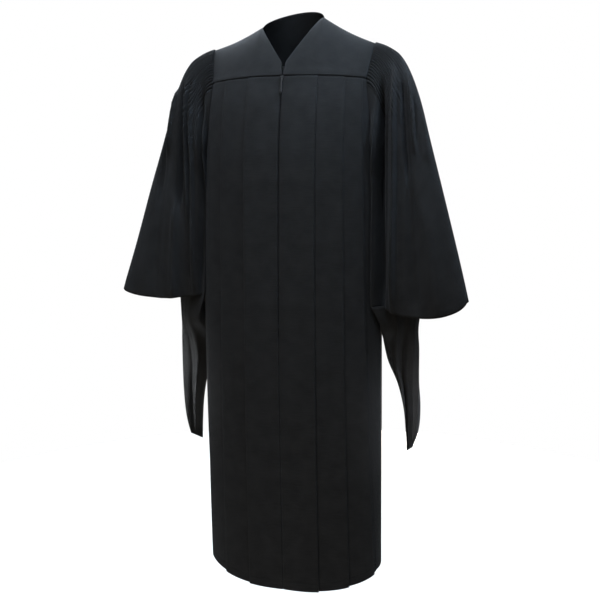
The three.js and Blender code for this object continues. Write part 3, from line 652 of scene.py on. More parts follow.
# Folds hang straight down, whatever the ring under them does: each runs from a top to a low point in X and Z
LEFT_FOLDS = table("face topX topZ lowX lowZ wide high", [
    (1, 251, -112, 262, -680, 8, 24),
    (1, 226, -150, 228, -700, 12, -52),
    (1, 213, -180, 211, -620, 3, -4),
    (1, 220, -170, 219, -640, 3, 4),
    (1, 240, -190, 243, -560, 4, -9),
    (1, 269, -150, 292, -380, 6, -17),
    (1, 281, -128, 305, -310, 6, 14),
    (1, 297, -190, 306, -300, 4, -12),
    (1, 318, -200, 334, -330, 10, 11),
    (1, 330, -420, 372, -690, 24, 8),
    (1, 296, -380, 318, -690, 18, -9),
    (-1, 252, -150, 262, -640, 14, 12),
    (-1, 234, -170, 234, -640, 10, -14),
    (-1, 276, -160, 296, -480, 12, -11),
    (-1, 300, -170, 340, -560, 16, 9),
    (-1, 322, -260, 376, -640, 16, -9),
])
RIGHT_FOLDS = table("face topX topZ lowX lowZ wide high", [
    (1, 252, -118, 248, -480, 4, 14),
    (1, 238, -122, 238, -650, 5, 16),
    (1, 245, -128, 243, -360, 4, -13),
    (1, 215, -150, 215, -690, 10, -30),
    (1, 265, -140, 268, -440, 7, -20),
    (1, 287, -150, 300, -300, 9, 14),
    (1, 306, -190, 322, -420, 8, -9),
    (1, 303, -300, 334, -670, 22, -9),
    (1, 276, -420, 290, -690, 13, 9),
    (-1, 250, -150, 258, -620, 13, 12),
    (-1, 234, -170, 234, -640, 10, -14),
    (-1, 272, -160, 290, -440, 12, -11),
    (-1, 298, -190, 330, -600, 16, 9),
    (-1, 326, -280, 372, -640, 18, -9),
])


def armhole_point(angle):
    """The armhole's edge: 0 on the shoulder, 90 in front, 180 under the arm, 270 behind."""
    around = np.where(angle <= 180, angle, 360 - angle)
    clear = SEAM_GAP + mix(OFF_SHOULDER, OFF_BODY, ease(0, YOKE_SHARE, around)) * CAD_CLOTH / 2
    fall = np.clip(around / YOKE_SHARE, 0, 1)
    f = np.clip((180 - around) / (180 - YOKE_SHARE), 0, 1)
    faces = []
    for face in ("front", "back"):
        upper = yoke_point(yoke_end(fall), fall, face, 1)
        lower_z, lower_turn = armhole_below(f, face)
        lower = body_point(lower_z, lower_turn, 0, face, 1)
        faces.append(np.where((around < YOKE_SHARE)[..., None], upper, lower))
    point = np.where((angle <= 180)[..., None], faces[0], faces[1])
    point[..., 0] += clear
    return point


def gathers(angle, t):
    """Rounded ridges with sharp valleys, |sin|^0.8 of the place along the seam, each of its own length."""
    around = np.minimum(angle, 360 - angle)
    place = around / GATHER_TO * GATHER_COUNT
    number = np.floor(place) + np.where(angle > 180, 40, 0)
    varied = np.sin(number * 12.9898) * 43758.5453
    varied = varied - np.floor(varied)
    ridge = np.abs(np.sin(place * math.pi)) ** 0.8 - 0.55
    length = mix(0.05, 0.17, varied)
    high = GATHER_HIGH * mix(0.7, 1.2, varied) * mix(0.35, 1, ease(0, 0.02, t))
    strength = 1 - ease(GATHER_TO - 4, GATHER_TO, around)
    return high * ridge * strength * (1 - ease(length * 0.4, length + 0.07, t))


def hanging_folds(point, sine, folds):
    """How far the folds push out: a hill or trough across x, along a line from its top to its low point."""
    x, z = point[..., 0], point[..., 2]
    high = np.zeros(x.shape)
    for face, top_x, top_z, low_x, low_z, wide, rise in zip(*folds.values()):
        down = (z - top_z) / (low_z - top_z)
        line = mix(top_x, low_x, np.clip(down, 0, 1))
        ends = ease(-0.05, 0.16, down) * (1 - ease(0.78, 1.1, down))
        faced = ease(0.02, 0.3, sine * face)
        high += rise * ends * faced * bump((x - line) / (wide * mix(0.8, 1.3, np.clip(down, 0, 1))))
    return high


def fanned_angle(seam_angle, opened):
    """A column's angle on a ring: the columns fan out below the seam, fully where opened is 1."""
    behind = seam_angle > 180
    share = np.where(behind, 360 - seam_angle, seam_angle) / 180
    fanned = 180 * (share + FAN * opened * share * (1 - share))
    return np.where(behind, 360 - fanned, fanned)


def sleeve_rings(t, seam_angle, name):
    """Ring point = centre + major*cos + ahead*depth*sin^0.85."""
    t, seam_angle = np.broadcast_arrays(t[:, None], seam_angle[None, :])
    angle = fanned_angle(seam_angle, ease(0, 0.13, t))
    row = {key: curve(SLEEVE["t"], SLEEVE[key], t) for key in SLEEVE}
    trim = TRIM[name] * bump((t - 0.45) / 0.4)
    outer = np.stack([row["outX"] - trim, row["outY"], row["outZ"]], -1)
    inner = np.stack([row["inX"], row["inY"] + INNER_BACK * ease(0.06, 0.45, t), row["inZ"]], -1)
    centre = (outer + inner) / 2
    major = outer - centre
    reach = np.linalg.norm(major, axis=-1, keepdims=True)
    lengthwise = major / reach
    ahead = np.array([0, -1, 0]) + lengthwise[..., 1:2] * lengthwise
    ahead /= np.linalg.norm(ahead, axis=-1, keepdims=True)
    sine = np.sin(np.radians(angle))[..., None]
    cosine = np.cos(np.radians(angle))[..., None]
    depth = np.where(sine > 0, row["front"][..., None], row["back"][..., None])
    point = centre + major * cosine + ahead * depth * np.sign(sine) * np.abs(sine) ** 0.85
    point[..., 2] -= CUFF_DROOP[name] * ease(0.55, 1, t) * np.maximum(0, sine[..., 0])
    point[..., 2] += CUFF_LIFT[name] * ease(0.7, 1, t) * np.maximum(0, cosine[..., 0])
    seam = armhole_point(seam_angle)
    point = mix(seam, point, (ease(0, 0.1, t) ** 0.7)[..., None])
    lower = ease(0.04, 0.22, t)
    from_lap = (angle - mix(LAP["head_at"], LAP["at"], lower)) / mix(LAP["head_wide"], LAP["wide"], lower)
    lap = ease(0.005, 0.07, t) * bump(from_lap)
    point[..., 0] -= lap * mix(LAP["head_in"], LAP["in"], ease(0.03, 0.13, t))
    point[..., 1] -= lap * LAP["ahead"]
    out = lengthwise * cosine / reach + ahead * sine / depth
    out /= np.linalg.norm(out, axis=-1, keepdims=True)
    folds = LEFT_FOLDS if name == "left" else RIGHT_FOLDS
    pushed = FOLD_SHARE * hanging_folds(point, sine[..., 0], folds) * np.sign(sine[..., 0])
    return point + out * gathers(seam_angle, t)[..., None] + ahead * pushed[..., None]


def from_edges(across):
    """Places across a bag that crowd toward its two edges."""
    return (1 - np.cos(math.pi * across)) / 2


def bag_levels(inner, outer, across, bulge):
    """Across each level from inner to outer edge, standing off the straight line as sin^0.7 times the bulge."""
    chord = outer - inner
    behind = np.stack([-chord[:, 1], chord[:, 0], 0 * chord[:, 0]], -1)
    behind /= np.linalg.norm(behind, axis=-1, keepdims=True)
    f = from_edges(across)
    swell = np.sin(math.pi * f) ** 0.7
    return inner[:, None] + chord[:, None] * f[:, None] + behind[:, None] * (bulge[:, None] * swell)[..., None]


def bag_folds(across, down, side):
    """Hills and troughs down a bag's front wall, each along a line from its top to the tip."""
    f = from_edges(across)
    high = np.zeros((len(down), len(f)))
    for on, top, low, wide, rise in zip(*BAG_FOLDS.values()):
        line = mix(top, low, down)[:, None]
        ends = np.sin(math.pi * np.clip(down, 0, 1))[:, None] ** 0.7
        high += (on == side) * rise * bump((f - line) / wide) * ends
    return high * np.sin(math.pi * f) ** 0.5


BAG_ROWS = 40
BAG_FROM_ANGLE = 150
BAG_TO_ANGLE = 255


def seam_angles():
    """Columns round the armhole: seven to each gather at the head, and wider ones below it, front and back."""
    head = np.linspace(0, GATHER_TO, GATHER_COUNT * COLUMNS_A_GATHER, endpoint=False)
    plain = np.linspace(GATHER_TO, 180, PLAIN_COLUMNS + 1)
    front = np.concatenate([head, plain])
    return np.concatenate([front, (360 - front[1:-1])[::-1]])


def sleeve_grids(name):
    """The bell as a closed grid, and the bag's back and front walls, which share its edges."""
    angles = seam_angles()
    bell = sleeve_rings(SLEEVE_ROWS, angles, name)
    low_angle = fanned_angle(angles, 1)
    first = int(np.searchsorted(low_angle, BAG_FROM_ANGLE))
    last = int(np.searchsorted(low_angle, BAG_TO_ANGLE))
    cuff = bell[-1, first:last + 1]
    across = np.linspace(0, 1, len(cuff))
    down = np.linspace(0, 1, len(BAG["inX"]))
    moved = np.stack([BAG_OUT[name] * down, 0 * down, -BAG_DROP[name] * down], -1)
    inner = np.stack([BAG["inX"], BAG["inY"], BAG["inZ"]], -1) + moved
    outer = np.stack([BAG["outX"], BAG["outY"], BAG["outZ"]], -1) + moved
    swell = BAG["back"] + BAG_SWELL[name] * (1 - down) ** 2
    back_levels = np.concatenate([cuff[None], bag_levels(inner, outer, across, swell)])
    mouth = bag_levels(cuff[:1], cuff[-1:], across, -BAG["front"][:1])
    front_levels = np.concatenate([mouth, bag_levels(inner, outer, across, -BAG["front"])])
    depth = np.arange(len(back_levels))
    places = np.linspace(0, depth[-1], BAG_ROWS)
    walls = [curve(depth, levels, places) for levels in (back_levels, front_levels)]
    walls[1][..., 1] -= bag_folds(across, places / depth[-1], SIDES[name])
    walls[1][:, [0, -1]] = walls[0][:, [0, -1]]
    walls[1][-1] = walls[0][-1]
    flip = np.array([SIDES[name], 1, 1])
    return [(bell * flip, True), (walls[0] * flip, False), (walls[1][:, ::-1] * flip, False)]


ARM_X = 280
ARM_Y = -20


def from_arm(side):
    """Away from the sleeve's upright middle line."""
    return lambda points: points - [side * ARM_X, ARM_Y, 0] - points * [0, 0, 1]


sleeve_left = cloth_object("gown_sleeve_left", sleeve_grids("left"), CLOTH, from_arm(1))
sleeve_right = cloth_object("gown_sleeve_right", sleeve_grids("right"), CLOTH, from_arm(-1))

# %% [markdown]
# ## The zip
# A moulded chain on two woven tapes, sewn behind the front edges. The teeth are real: one small block, repeated
# down the chain left and right in turn, is enough at this size, so all of them make one light mesh.

# %% The centre front line
def centre_depth(z):
    """How far forward the front edges lie at a height: on the yoke above its seam, on the body below it."""
    z = np.asarray(z, float)
    ridge = ridge_height(0, -1)
    drop = np.clip((ridge - z) / (ridge - YOKE_SEAM_CENTRE), 0, 1)
    on_yoke = body_point(YOKE_SEAM_CENTRE, 0, 0, "front", 1)[..., 1] * yoke_lean(np.arccos(1 - drop) / QUARTER)
    on_body = body_point(np.minimum(z, YOKE_SEAM_CENTRE), 0, 0, "front", 1)[..., 1]
    return np.where(z > YOKE_SEAM_CENTRE, on_yoke, on_body)


def block(centres, size):
    """Blocks of one size, X Y Z in millimetres, round each centre, as the points and faces of one mesh."""
    corners = np.array([(x, y, z) for x in (-0.5, 0.5) for y in (-0.5, 0.5) for z in (-0.5, 0.5)]) * size
    sides = np.array([(0, 1, 3, 2), (4, 6, 7, 5), (0, 4, 5, 1), (2, 3, 7, 6), (0, 2, 6, 4), (1, 5, 7, 3)])
    points = (np.asarray(centres, float)[:, None] + corners).reshape(-1, 3)
    faces = (sides + 8 * np.arange(len(centres))[:, None, None]).reshape(-1, 4)
    return points, faces


def joined(parts):
    """Several points-and-faces pairs as one."""
    points, faces, start = [], [], 0
    for part_points, part_faces in parts:
        points.append(part_points)
        faces.append(part_faces + start)
        start += len(part_points)
    return np.concatenate(points), np.concatenate(faces)


def bevelled(thing, width, segments=2):
    """Rounds the edges of a piece, so that they catch a line of light as moulded and cast edges do."""
    edge = thing.modifiers.new("rounded edges", "BEVEL")
    edge.width = width * MM
    edge.segments = segments
    edge.limit_method = "ANGLE"
    return thing


# %% Tape and teeth
TAPE_HALF = 12
TAPE_WALL = 0.6
TAPE_BEHIND = 3.4
TOOTH_PITCH = 1.3
TOOTH_SIZE = (1.9, 1.3, 0.95)
TOOTH_SIDE = 0.55
TOOTH_BEHIND = 2.0
STOP_SIZE = (3.2, 1.7, 4.5)

tape_z = np.concatenate([
    np.linspace(ZIP_TOP, YOKE_SEAM_CENTRE, 8), np.linspace(YOKE_SEAM_CENTRE - 4, ZIP_END, 90)])
tape_x = np.linspace(-TAPE_HALF, TAPE_HALF, 13)
tape_behind = TAPE_BEHIND + 0.6 * ease(YOKE_SEAM_CENTRE - 6, YOKE_SEAM_CENTRE, tape_z)
tape_grid = np.stack(np.broadcast_arrays(
    tape_x[None, :] + drift(tape_z)[:, None], (centre_depth(tape_z) + tape_behind)[:, None], tape_z[:, None]), -1)
zip_tape = cloth_object("gown_zip_tape", [(tape_grid, False)], TAPE_WALL, from_axis)

tooth_z = np.arange(ZIP_TOP - 2, ZIP_END + STOP_SIZE[2], -TOOTH_PITCH)
tooth_side = np.where(np.arange(len(tooth_z)) % 2, 1, -1) * (TOOTH_SIDE + slit(tooth_z))
tooth_y = centre_depth(tooth_z) + TOOTH_BEHIND + 0.5 * ease(YOKE_SEAM_CENTRE - 6, YOKE_SEAM_CENTRE, tooth_z)
teeth = block(np.stack([tooth_side + drift(tooth_z), tooth_y, tooth_z], -1), TOOTH_SIZE)
stop_z = ZIP_END + STOP_SIZE[2] / 2
stop = block([(drift(stop_z), centre_depth(stop_z) + TOOTH_BEHIND, stop_z)], STOP_SIZE)
zip_teeth = bevelled(mesh_object("gown_zip_teeth", *joined([teeth, stop])), 0.16, 1)
zip_teeth.data.polygons.foreach_set("use_smooth", [False] * len(zip_teeth.data.polygons))
print(len(tooth_z), "teeth")

# %% [markdown]
# ## Slider and pull
# The slider is a small die-cast body with two ears; the pull is a thin tab on a pin between them, so it can
# swing. Both are plates with rounded edges, worked out from an outline that is drawn in a few rings.

# %% Slider and pull
SLIDER_Z = -136
SLIDER = {"half": 4.6, "high": 11, "wall": 2.4, "ear": 1.5, "ear_gap": 2.7, "ear_out": 3.6}
PULL = {"half": 2.3, "long": 38, "wall": 1.1, "barrel": 1.2, "tip": 3.4}
CHEST_RUN = 30
chest = math.atan2(centre_depth(SLIDER_Z) - centre_depth(SLIDER_Z - CHEST_RUN), CHEST_RUN)
slider_place = np.array([0, centre_depth(SLIDER_Z) - CAD_CLOTH / 2 - SEAM_GAP / math.cos(chest), SLIDER_Z])


def on_chest(points):
    """Turns points by the slope of the chest and moves them to the slider's place."""
    c, d = math.cos(-chest), math.sin(-chest)
    x, y, z = points[:, 0], points[:, 1], points[:, 2]
    return np.stack([x, c * y - d * z, d * y + c * z], -1) + slider_place


def rounded_plate(outline, back, front, round_by):
    """Rings of one outline from back to front: each edge turns in as a quarter circle, then closes flat."""
    centre = outline.mean(0)
    spread = np.linalg.norm(outline - centre, axis=1).mean()
    bend = np.linspace(0, QUARTER, 4)
    inward, deeper = round_by * (1 - np.sin(bend)), round_by * (1 - np.cos(bend))
    inset = np.concatenate([[spread], inward, inward[::-1], [spread]])
    depth = np.concatenate([[back], back - deeper, front + deeper[::-1], [front]])
    scale = (1 - inset / spread)[:, None, None]
    ring = centre + (outline - centre) * scale
    grid = np.stack([ring[..., 0], np.broadcast_to(depth[:, None], ring.shape[:2]), ring[..., 1]], -1)
    return grid.reshape(-1, 3), grid_faces(len(depth), len(outline), closed=True)


def smooth_outline(corners, steps=10):
    """A closed outline that runs smoothly through its corners."""
    corners = np.asarray(corners, float)
    looped = np.concatenate([corners[-2:], corners, corners[:2]])
    places = np.linspace(0, len(corners), len(corners) * steps, endpoint=False)
    return curve(np.arange(-2, len(corners) + 2), looped, places)


def rod(radius, half_long, place, sides=16):
    """A round pin along X with closed ends."""
    turn = np.linspace(0, 2 * math.pi, sides, endpoint=False)
    along = np.array([-half_long, -half_long, half_long, half_long])
    wide = np.array([0.01, radius, radius, 0.01])
    grid = np.stack(np.broadcast_arrays(
        along[:, None], wide[:, None] * np.cos(turn), wide[:, None] * np.sin(turn)), -1) + place
    return grid.reshape(-1, 3), grid_faces(4, sides, closed=True)


def metal_piece(name, parts, width):
    """One piece of cast metal from its parts, set on the chest, with faces outward and edges rounded."""
    points, faces = joined(parts)
    thing = mesh_object(name, on_chest(points), faces)
    net = bmesh.new()
    net.from_mesh(thing.data)
    bmesh.ops.recalc_face_normals(net, faces=net.faces)
    net.to_mesh(thing.data)
    net.free()
    return bevelled(thing, width)


half, high, deep = SLIDER["half"], SLIDER["high"], SLIDER["wall"]
slider_outline = smooth_outline([
    (-half, -0.5), (-half * 0.7, -high * 0.6), (-half * 0.55, -high), (half * 0.55, -high),
    (half * 0.7, -high * 0.6), (half, -0.5), (half * 0.5, 1.9), (-half * 0.5, 1.9)])
ear_centres = [
    (side * (SLIDER["ear_gap"] + SLIDER["ear"] / 2), -deep - SLIDER["ear_out"] / 2 + 0.4, -3) for side in (-1, 1)]
slider_parts = [
    rounded_plate(slider_outline, 0, -deep * 0.6, 0.5),
    rounded_plate(slider_outline * 0.8 - [0, 0.9], -deep * 0.6, -deep, 0.4),
    block(ear_centres, (SLIDER["ear"], SLIDER["ear_out"], 4)),
]
zip_slider = metal_piece("gown_zip_slider", slider_parts, 0.25)

half, long, deep = PULL["half"], PULL["long"], PULL["wall"]
tip = PULL["tip"]
hinge = np.array([0, -SLIDER["wall"] - PULL["barrel"] - SEAM_GAP, -3])
pull_side = [
    (half * 0.8, 0.2), (half * 0.8, -long * 0.3), (half, -long * 0.55), (tip, -long * 0.8), (tip * 0.7, -long + 0.2)]
pull_outline = smooth_outline(pull_side + [(-x, z) for x, z in pull_side[::-1]])
tab_points, tab_faces = rounded_plate(pull_outline, deep / 2, -deep / 2, 0.3)
grip_outline = pull_outline * [0.62, 0.22] - [0, long * 0.74]
grip_points, grip_faces = rounded_plate(grip_outline, -deep / 2 + 0.1, -deep / 2 - 0.35, 0.3)
pull_parts = [
    (tab_points + hinge, tab_faces),
    (grip_points + hinge, grip_faces),
    rod(PULL["barrel"], SLIDER["ear_gap"] - SEAM_GAP, hinge),
]
zip_pull = metal_piece("gown_zip_pull", pull_parts, 0.12)
print("slider at", [round(float(v), 1) for v in slider_place])

# %% [markdown]
# ## Sewing
# The thread shows beside the zip, round the skirt's hem and round the cuffs. Each stitch is a short thread that
# dips into the cloth at its ends, and a row of them is worked out at even steps along a line on the cloth.

# %% Rows of stitches
STITCH_STEP = 3.3
STITCH_LONG = 2.5
THREAD = 0.2
STITCH_SIDES = 5


def stitch_row(line, facing):
    """Stitches along a line: each is a tube whose ends are narrow and sunk, its middle 0.1 mm proud."""
    run = np.concatenate([[0], np.cumsum(np.linalg.norm(np.diff(line, axis=0), axis=1))])
    keep = np.concatenate([[True], np.diff(run) > 1e-6])
    line, facing, run = line[keep], facing[keep], run[keep]
    middles = np.arange(STITCH_STEP, run[-1] - STITCH_STEP, STITCH_STEP)
    share = np.array([-0.5, -0.35, 0, 0.35, 0.5])
    radius = THREAD * np.array([0.3, 0.9, 1, 0.9, 0.3])
    lift = THREAD * np.array([-1.2, 0.1, 0.5, 0.1, -1.2])
    places = middles[:, None] + share * STITCH_LONG
    centre = curve(run, line, places)
    normal = curve(run, facing, places)
    normal /= np.linalg.norm(normal, axis=-1, keepdims=True)
    ahead = curve(run, line, places + 0.4) - curve(run, line, places - 0.4)
    ahead /= np.linalg.norm(ahead, axis=-1, keepdims=True)
    across = np.cross(ahead, normal)
    centre = centre + normal * lift[:, None]
    turn = np.linspace(0, 2 * math.pi, STITCH_SIDES, endpoint=False)
    ring = across[..., None, :] * np.cos(turn)[:, None] + normal[..., None, :] * np.sin(turn)[:, None]
    points = (centre[..., None, :] + ring * radius[:, None, None]).reshape(-1, 3)
    one = grid_faces(len(share), STITCH_SIDES, closed=True)
    faces = (one + (len(share) * STITCH_SIDES) * np.arange(len(middles))[:, None, None]).reshape(-1, 4)
    return points, faces


def line_facing(line, inner):
    """Which way the cloth faces along a line: away from an inner point or line, square to the line."""
    away = line - inner
    ahead = np.gradient(line, axis=0)
    ahead /= np.maximum(np.linalg.norm(ahead, axis=1, keepdims=True), 1e-9)
    away = away - (away * ahead).sum(1, keepdims=True) * ahead
    return away / np.linalg.norm(away, axis=1, keepdims=True)


ZIP_STITCH = 8
SURFACE = CLOTH / 2


def zip_stitches(side):
    """A row 8 mm beside the front edge, from the yoke seam to just below the zip."""
    z = np.linspace(YOKE_SEAM_CENTRE - 3, ZIP_END - 6, 120)
    x = side * (ZIP_EDGE + ZIP_STITCH)
    share = x * side / FRONT_PLEATS["top"][0]
    line = body_point(z, turn_at(z, abs(x)), PLEAT_RISE * share + SURFACE, "front", side)
    return stitch_row(line, line_facing(line, line * [0.2, 0, 1]))


def hem_stitches(pleats, face, side, grid):
    """A row along the hem's groove, on the pleats' outer layers only."""
    knot, part, shift, rise = pleat_section(pleats)
    shown = (shift == 0) & ((part > 0.1) | (rise == PLEAT_RISE))
    shown = np.concatenate([shown, np.ones(grid.shape[1] - len(shown), bool)])
    rows = []
    for k in np.unique(knot):
        beside = np.full(len(shown) - len(knot), k == knot[-1])
        chosen = np.concatenate([shown[:len(knot)] & (knot == k), beside])
        line = grid[HEM_LINE, chosen]
        if len(line) > 3:
            facing = line_facing(line, line * [0.2, 0, 1])
            rows.append(stitch_row(line + facing * SURFACE, facing))
    return rows


# The cuff's row of stitches: which ring it follows, counted from the edge, and the angle at which the bag begins
CUFF_LINE = -4
CUFF_SEWN_TO = 178


def cuff_stitches(name):
    """A row round the cuff, a hem's depth above its edge, over the part that isn't the bag's back wall."""
    grid = sleeve_grids(name)[0][0]
    line = grid[CUFF_LINE]
    facing = line_facing(line, line.mean(0))
    kept = seam_angles() < CUFF_SEWN_TO
    return stitch_row(line[kept] + facing[kept] * SURFACE, facing[kept])


seam_parts = [zip_stitches(1), zip_stitches(-1)]
for side in (1, -1):
    seam_parts += hem_stitches(FRONT_PLEATS, "front", side, body_half(FRONT_PLEATS, "front", side, zip_edge))
    seam_parts += hem_stitches(BACK_PLEATS, "back", side, body_half(BACK_PLEATS, "back", side, on_centre))
seam_parts += [cuff_stitches(name) for name in SIDES]
stitches = mesh_object("gown_stitches", *joined(seam_parts))
print(len(stitches.data.polygons), "faces of thread")

# %% [markdown]
# ## Finishes
# The cloth is a matte black polyester with a fine weave and a faint cool sheen. The weave is in a node group
# of its own, on the cloth's own map, so that the threads follow each panel as they do when it is cut.

# %% Helpers for nodes
def set_inputs(node, values):
    """Sets a node's inputs by name."""
    for name, value in values.items():
        node.inputs[name].default_value = value


def math_node(tree, operation, *values):
    """A Math node's result. Each value is a number to keep or a socket to link."""
    node = tree.nodes.new("ShaderNodeMath")
    node.operation = operation
    for socket, value in zip(node.inputs, values):
        if isinstance(value, (int, float)):
            socket.default_value = value
        else:
            tree.links.new(value, socket)
    return node.outputs[0]


def noise_at(tree, place, values):
    """A noise texture's value at a place."""
    noise = tree.nodes.new("ShaderNodeTexNoise")
    set_inputs(noise, values)
    tree.links.new(place, noise.inputs["Vector"])
    return noise.outputs["Fac"]


def shades_of(tree, factor, low, high):
    """A colour ramp's colour for a factor, between two places and colours."""
    shades = tree.nodes.new("ShaderNodeValToRGB")
    for element, (place, colour) in zip(shades.color_ramp.elements, (low, high)):
        element.position = place
        element.color = (*colour, 1)
    tree.links.new(factor, shades.inputs["Fac"])
    return shades.outputs["Color"]


def add_relief(tree, shader, height, strength, distance):
    """Bump on a shader's normal from a height, with its distance in metres."""
    relief = tree.nodes.new("ShaderNodeBump")
    set_inputs(relief, {"Strength": strength, "Distance": distance})
    tree.links.new(height, relief.inputs["Height"])
    tree.links.new(relief.outputs["Normal"], shader.inputs["Normal"])


def object_place(tree):
    """The place on the object itself."""
    return tree.nodes.new("ShaderNodeTexCoord").outputs["Object"]


# %% The weave group
def group_socket(tree, name, kind, way, value=None):
    """One named socket of a node group."""
    socket = tree.interface.new_socket(name=name, in_out=way, socket_type=kind)
    if value is not None:
        socket.default_value = value


def weave_group():
    """Crossed threads as sine waves on the cloth's map, with uneven weft threads and slow mottling."""
    tree = bpy.data.node_groups.new("woven threads", "ShaderNodeTree")
    group_socket(tree, "Threads per metre", "NodeSocketFloat", "INPUT", 2200)
    group_socket(tree, "Height", "NodeSocketFloat", "OUTPUT")
    group_socket(tree, "Mottle", "NodeSocketFloat", "OUTPUT")
    nodes, links = tree.nodes, tree.links
    enter, leave = nodes.new("NodeGroupInput"), nodes.new("NodeGroupOutput")
    uv = nodes.new("ShaderNodeUVMap")
    uv.uv_map = "cloth"
    split = nodes.new("ShaderNodeSeparateXYZ")
    links.new(uv.outputs["UV"], split.inputs["Vector"])
    waves = []
    for axis in ("X", "Y"):
        scaled = math_node(tree, "MULTIPLY", split.outputs[axis], enter.outputs["Threads per metre"])
        waves.append(math_node(tree, "SINE", math_node(tree, "MULTIPLY", scaled, math.pi)))
    product = math_node(tree, "MULTIPLY", *waves)
    mottle = noise_at(tree, uv.outputs["UV"], {"Scale": 28, "Detail": 6, "Roughness": 0.6})
    stretched = nodes.new("ShaderNodeMapping")
    stretched.inputs["Scale"].default_value = (30, 620, 1)
    links.new(uv.outputs["UV"], stretched.inputs["Vector"])
    weft = noise_at(tree, stretched.outputs["Vector"], {"Scale": 1, "Detail": 3})
    for name, first, share in (("Height", product, 2.2), ("Mottle", mottle, 0.9)):
        centred = math_node(tree, "SUBTRACT", weft, 0.5)
        links.new(math_node(tree, "MULTIPLY_ADD", centred, share, first), leave.inputs[name])
    return tree


WEAVE = weave_group()


# %% Materials
def material_with(name):
    """A new node material with its tree and shader."""
    material = bpy.data.materials.new(name)
    material.use_nodes = True
    return material, material.node_tree, material.node_tree.nodes["Principled BSDF"]


def cloth_material(name, dark, light, threads, rough, sheen):
    """Woven cloth: mottled base colour and thread bump from the weave, and a sheen that is the same all over."""
    material, tree, shader = material_with(name)
    weave = tree.nodes.new("ShaderNodeGroup")
    weave.node_tree = WEAVE
    weave.inputs["Threads per metre"].default_value = threads
    colour = shades_of(tree, weave.outputs["Mottle"], (0.3, dark), (0.75, light))
    tree.links.new(colour, shader.inputs["Base Color"])
    add_relief(tree, shader, weave.outputs["Height"], 0.5, 0.0003)
    set_inputs(shader, {
        "Roughness": rough, "Specular IOR Level": 0.12, "Sheen Weight": sheen, "Sheen Roughness": 0.5,
        "Sheen Tint": (0.8, 0.88, 1, 1)})
    return material


def speckled_material(name, dark, light, rough, metallic, grain, shine):
    """Cast metal, moulded plastic or thread: colour and roughness that vary by a fine noise."""
    material, tree, shader = material_with(name)
    speckle = noise_at(tree, object_place(tree), {"Scale": grain, "Detail": 5})
    tree.links.new(shades_of(tree, speckle, (0.35, dark), (0.7, light)), shader.inputs["Base Color"])
    gloss = tree.nodes.new("ShaderNodeMapRange")
    set_inputs(gloss, {"To Min": rough - 0.08, "To Max": rough + 0.08})
    tree.links.new(speckle, gloss.inputs["Value"])
    tree.links.new(gloss.outputs["Result"], shader.inputs["Roughness"])
    add_relief(tree, shader, speckle, 0.2, 0.00005)
    set_inputs(shader, {"Metallic": metallic, "Specular IOR Level": shine})
    return material


def floor_material():
    """Pale paper, faintly mottled. It gives the cloth less light back than the camera sees in it."""
    material, tree, shader = material_with("pale studio paper")
    mottle = noise_at(tree, object_place(tree), {"Scale": 3})
    paper = shades_of(tree, mottle, (0.3, (0.85, 0.85, 0.85)), (0.7, (0.87, 0.87, 0.87)))
    path = tree.nodes.new("ShaderNodeLightPath")
    choice = tree.nodes.new("ShaderNodeMix")
    choice.data_type = "RGBA"
    choice.inputs["A"].default_value = (0.3, 0.28, 0.25, 1)
    tree.links.new(path.outputs["Is Camera Ray"], choice.inputs["Factor"])
    tree.links.new(paper, choice.inputs["B"])
    tree.links.new(choice.outputs["Result"], shader.inputs["Base Color"])
    shader.inputs["Roughness"].default_value = 0.9
    return material


# Cloths: name, dark and light colour, threads in a metre, roughness, sheen
BLACK_CLOTH = cloth_material(
    "black gown cloth", (0.0036, 0.0037, 0.0039), (0.0084, 0.0085, 0.0088), 2200, 0.82, 0.03)
# The inside faces of the panels take a cloth about half as dark: painted shade for the inside of the neck, sleeves
# and skirt.
INSIDE_PAINTED_SHADE = cloth_material(
    "cloth inside with painted shade", (0.0014, 0.0015, 0.0018), (0.0026, 0.0028, 0.0031), 2200, 0.9, 0)
TAPE_WEAVE = cloth_material("woven zip tape", (0.0022, 0.0022, 0.0024), (0.004, 0.004, 0.0044), 1400, 0.9, 0)
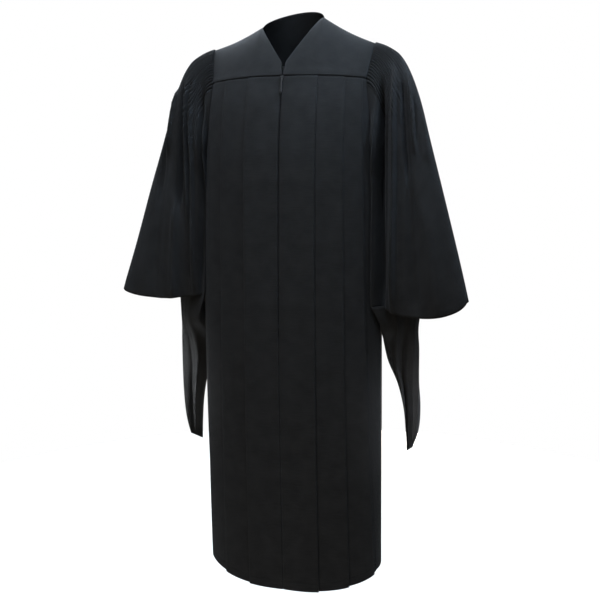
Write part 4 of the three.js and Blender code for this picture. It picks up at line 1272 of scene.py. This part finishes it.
# Small hard pieces and thread: name, dark and light colour, roughness, metallic, grain, shine
CHAIN_PLASTIC = speckled_material(
    "moulded zip teeth", (0.002, 0.002, 0.0022), (0.004, 0.004, 0.0045), 0.7, 0, 900, 0.06)
DARK_METAL = speckled_material(
    "painted die-cast metal", (0.0015, 0.0015, 0.0018), (0.005, 0.005, 0.0055), 0.34, 0.1, 1500, 0.16)
BLACK_THREAD = speckled_material(
    "black sewing thread", (0.002, 0.002, 0.0022), (0.005, 0.005, 0.0055), 0.7, 0, 3000, 0.06)
floor.data.materials.append(floor_material())
print("materials:", [m.name for m in bpy.data.materials][:8])

# %% [markdown]
# ## What each piece is in the frame
# Every cloth piece rides on the gown's body and stands in for its node, which is hidden.

CLOTH_PIECES = [
    # piece, node, cut width and length in metres, area in square metres
    (front_left, "front_left", (0.385, 1.245), 0.475),
    (front_right, "front_right", (0.385, 1.245), 0.475),
    (gown_back, "back", (0.77, 1.23), 0.94),
    (yoke_left, "yoke_front_left", (0.2, 0.165), 0.026),
    (yoke_right, "yoke_front_right", (0.2, 0.165), 0.025),
    (yoke_back, "yoke_back", (0.42, 0.24), 0.072),
    (sleeve_left, "sleeve_left", (0.7, 1.05), 0.5),
    (sleeve_right, "sleeve_right", (0.7, 1.05), 0.48),
    (zip_tape, "zip", (0.024, 0.61), None),
]
for piece, node, flat, area in CLOTH_PIECES:
    cloth = TAPE_WEAVE if piece is zip_tape else BLACK_CLOTH
    piece.data.materials.append(cloth)
    # The second material goes on the inside faces: for the gown's cloth, darker as painted shade.
    piece.data.materials.append(TAPE_WEAVE if piece is zip_tape else INSIDE_PAINTED_SHADE)
    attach(piece, "gown")
    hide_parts(node)

HARD_PIECES = [
    # piece, finish, body, node that it stands for, slot
    (zip_teeth, CHAIN_PLASTIC, "gown", "zip", "zip_tape"),
    (zip_slider, DARK_METAL, "gown", "zip_slider", "dark_metal"),
    (zip_pull, DARK_METAL, "pull", "zip_pull", "dark_metal"),
    (stitches, BLACK_THREAD, "gown", None, "black_cloth"),
]
for piece, finish, body, node, slot in HARD_PIECES:
    piece.data.materials.append(finish)
    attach(piece, body)
    if node:
        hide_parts(node)
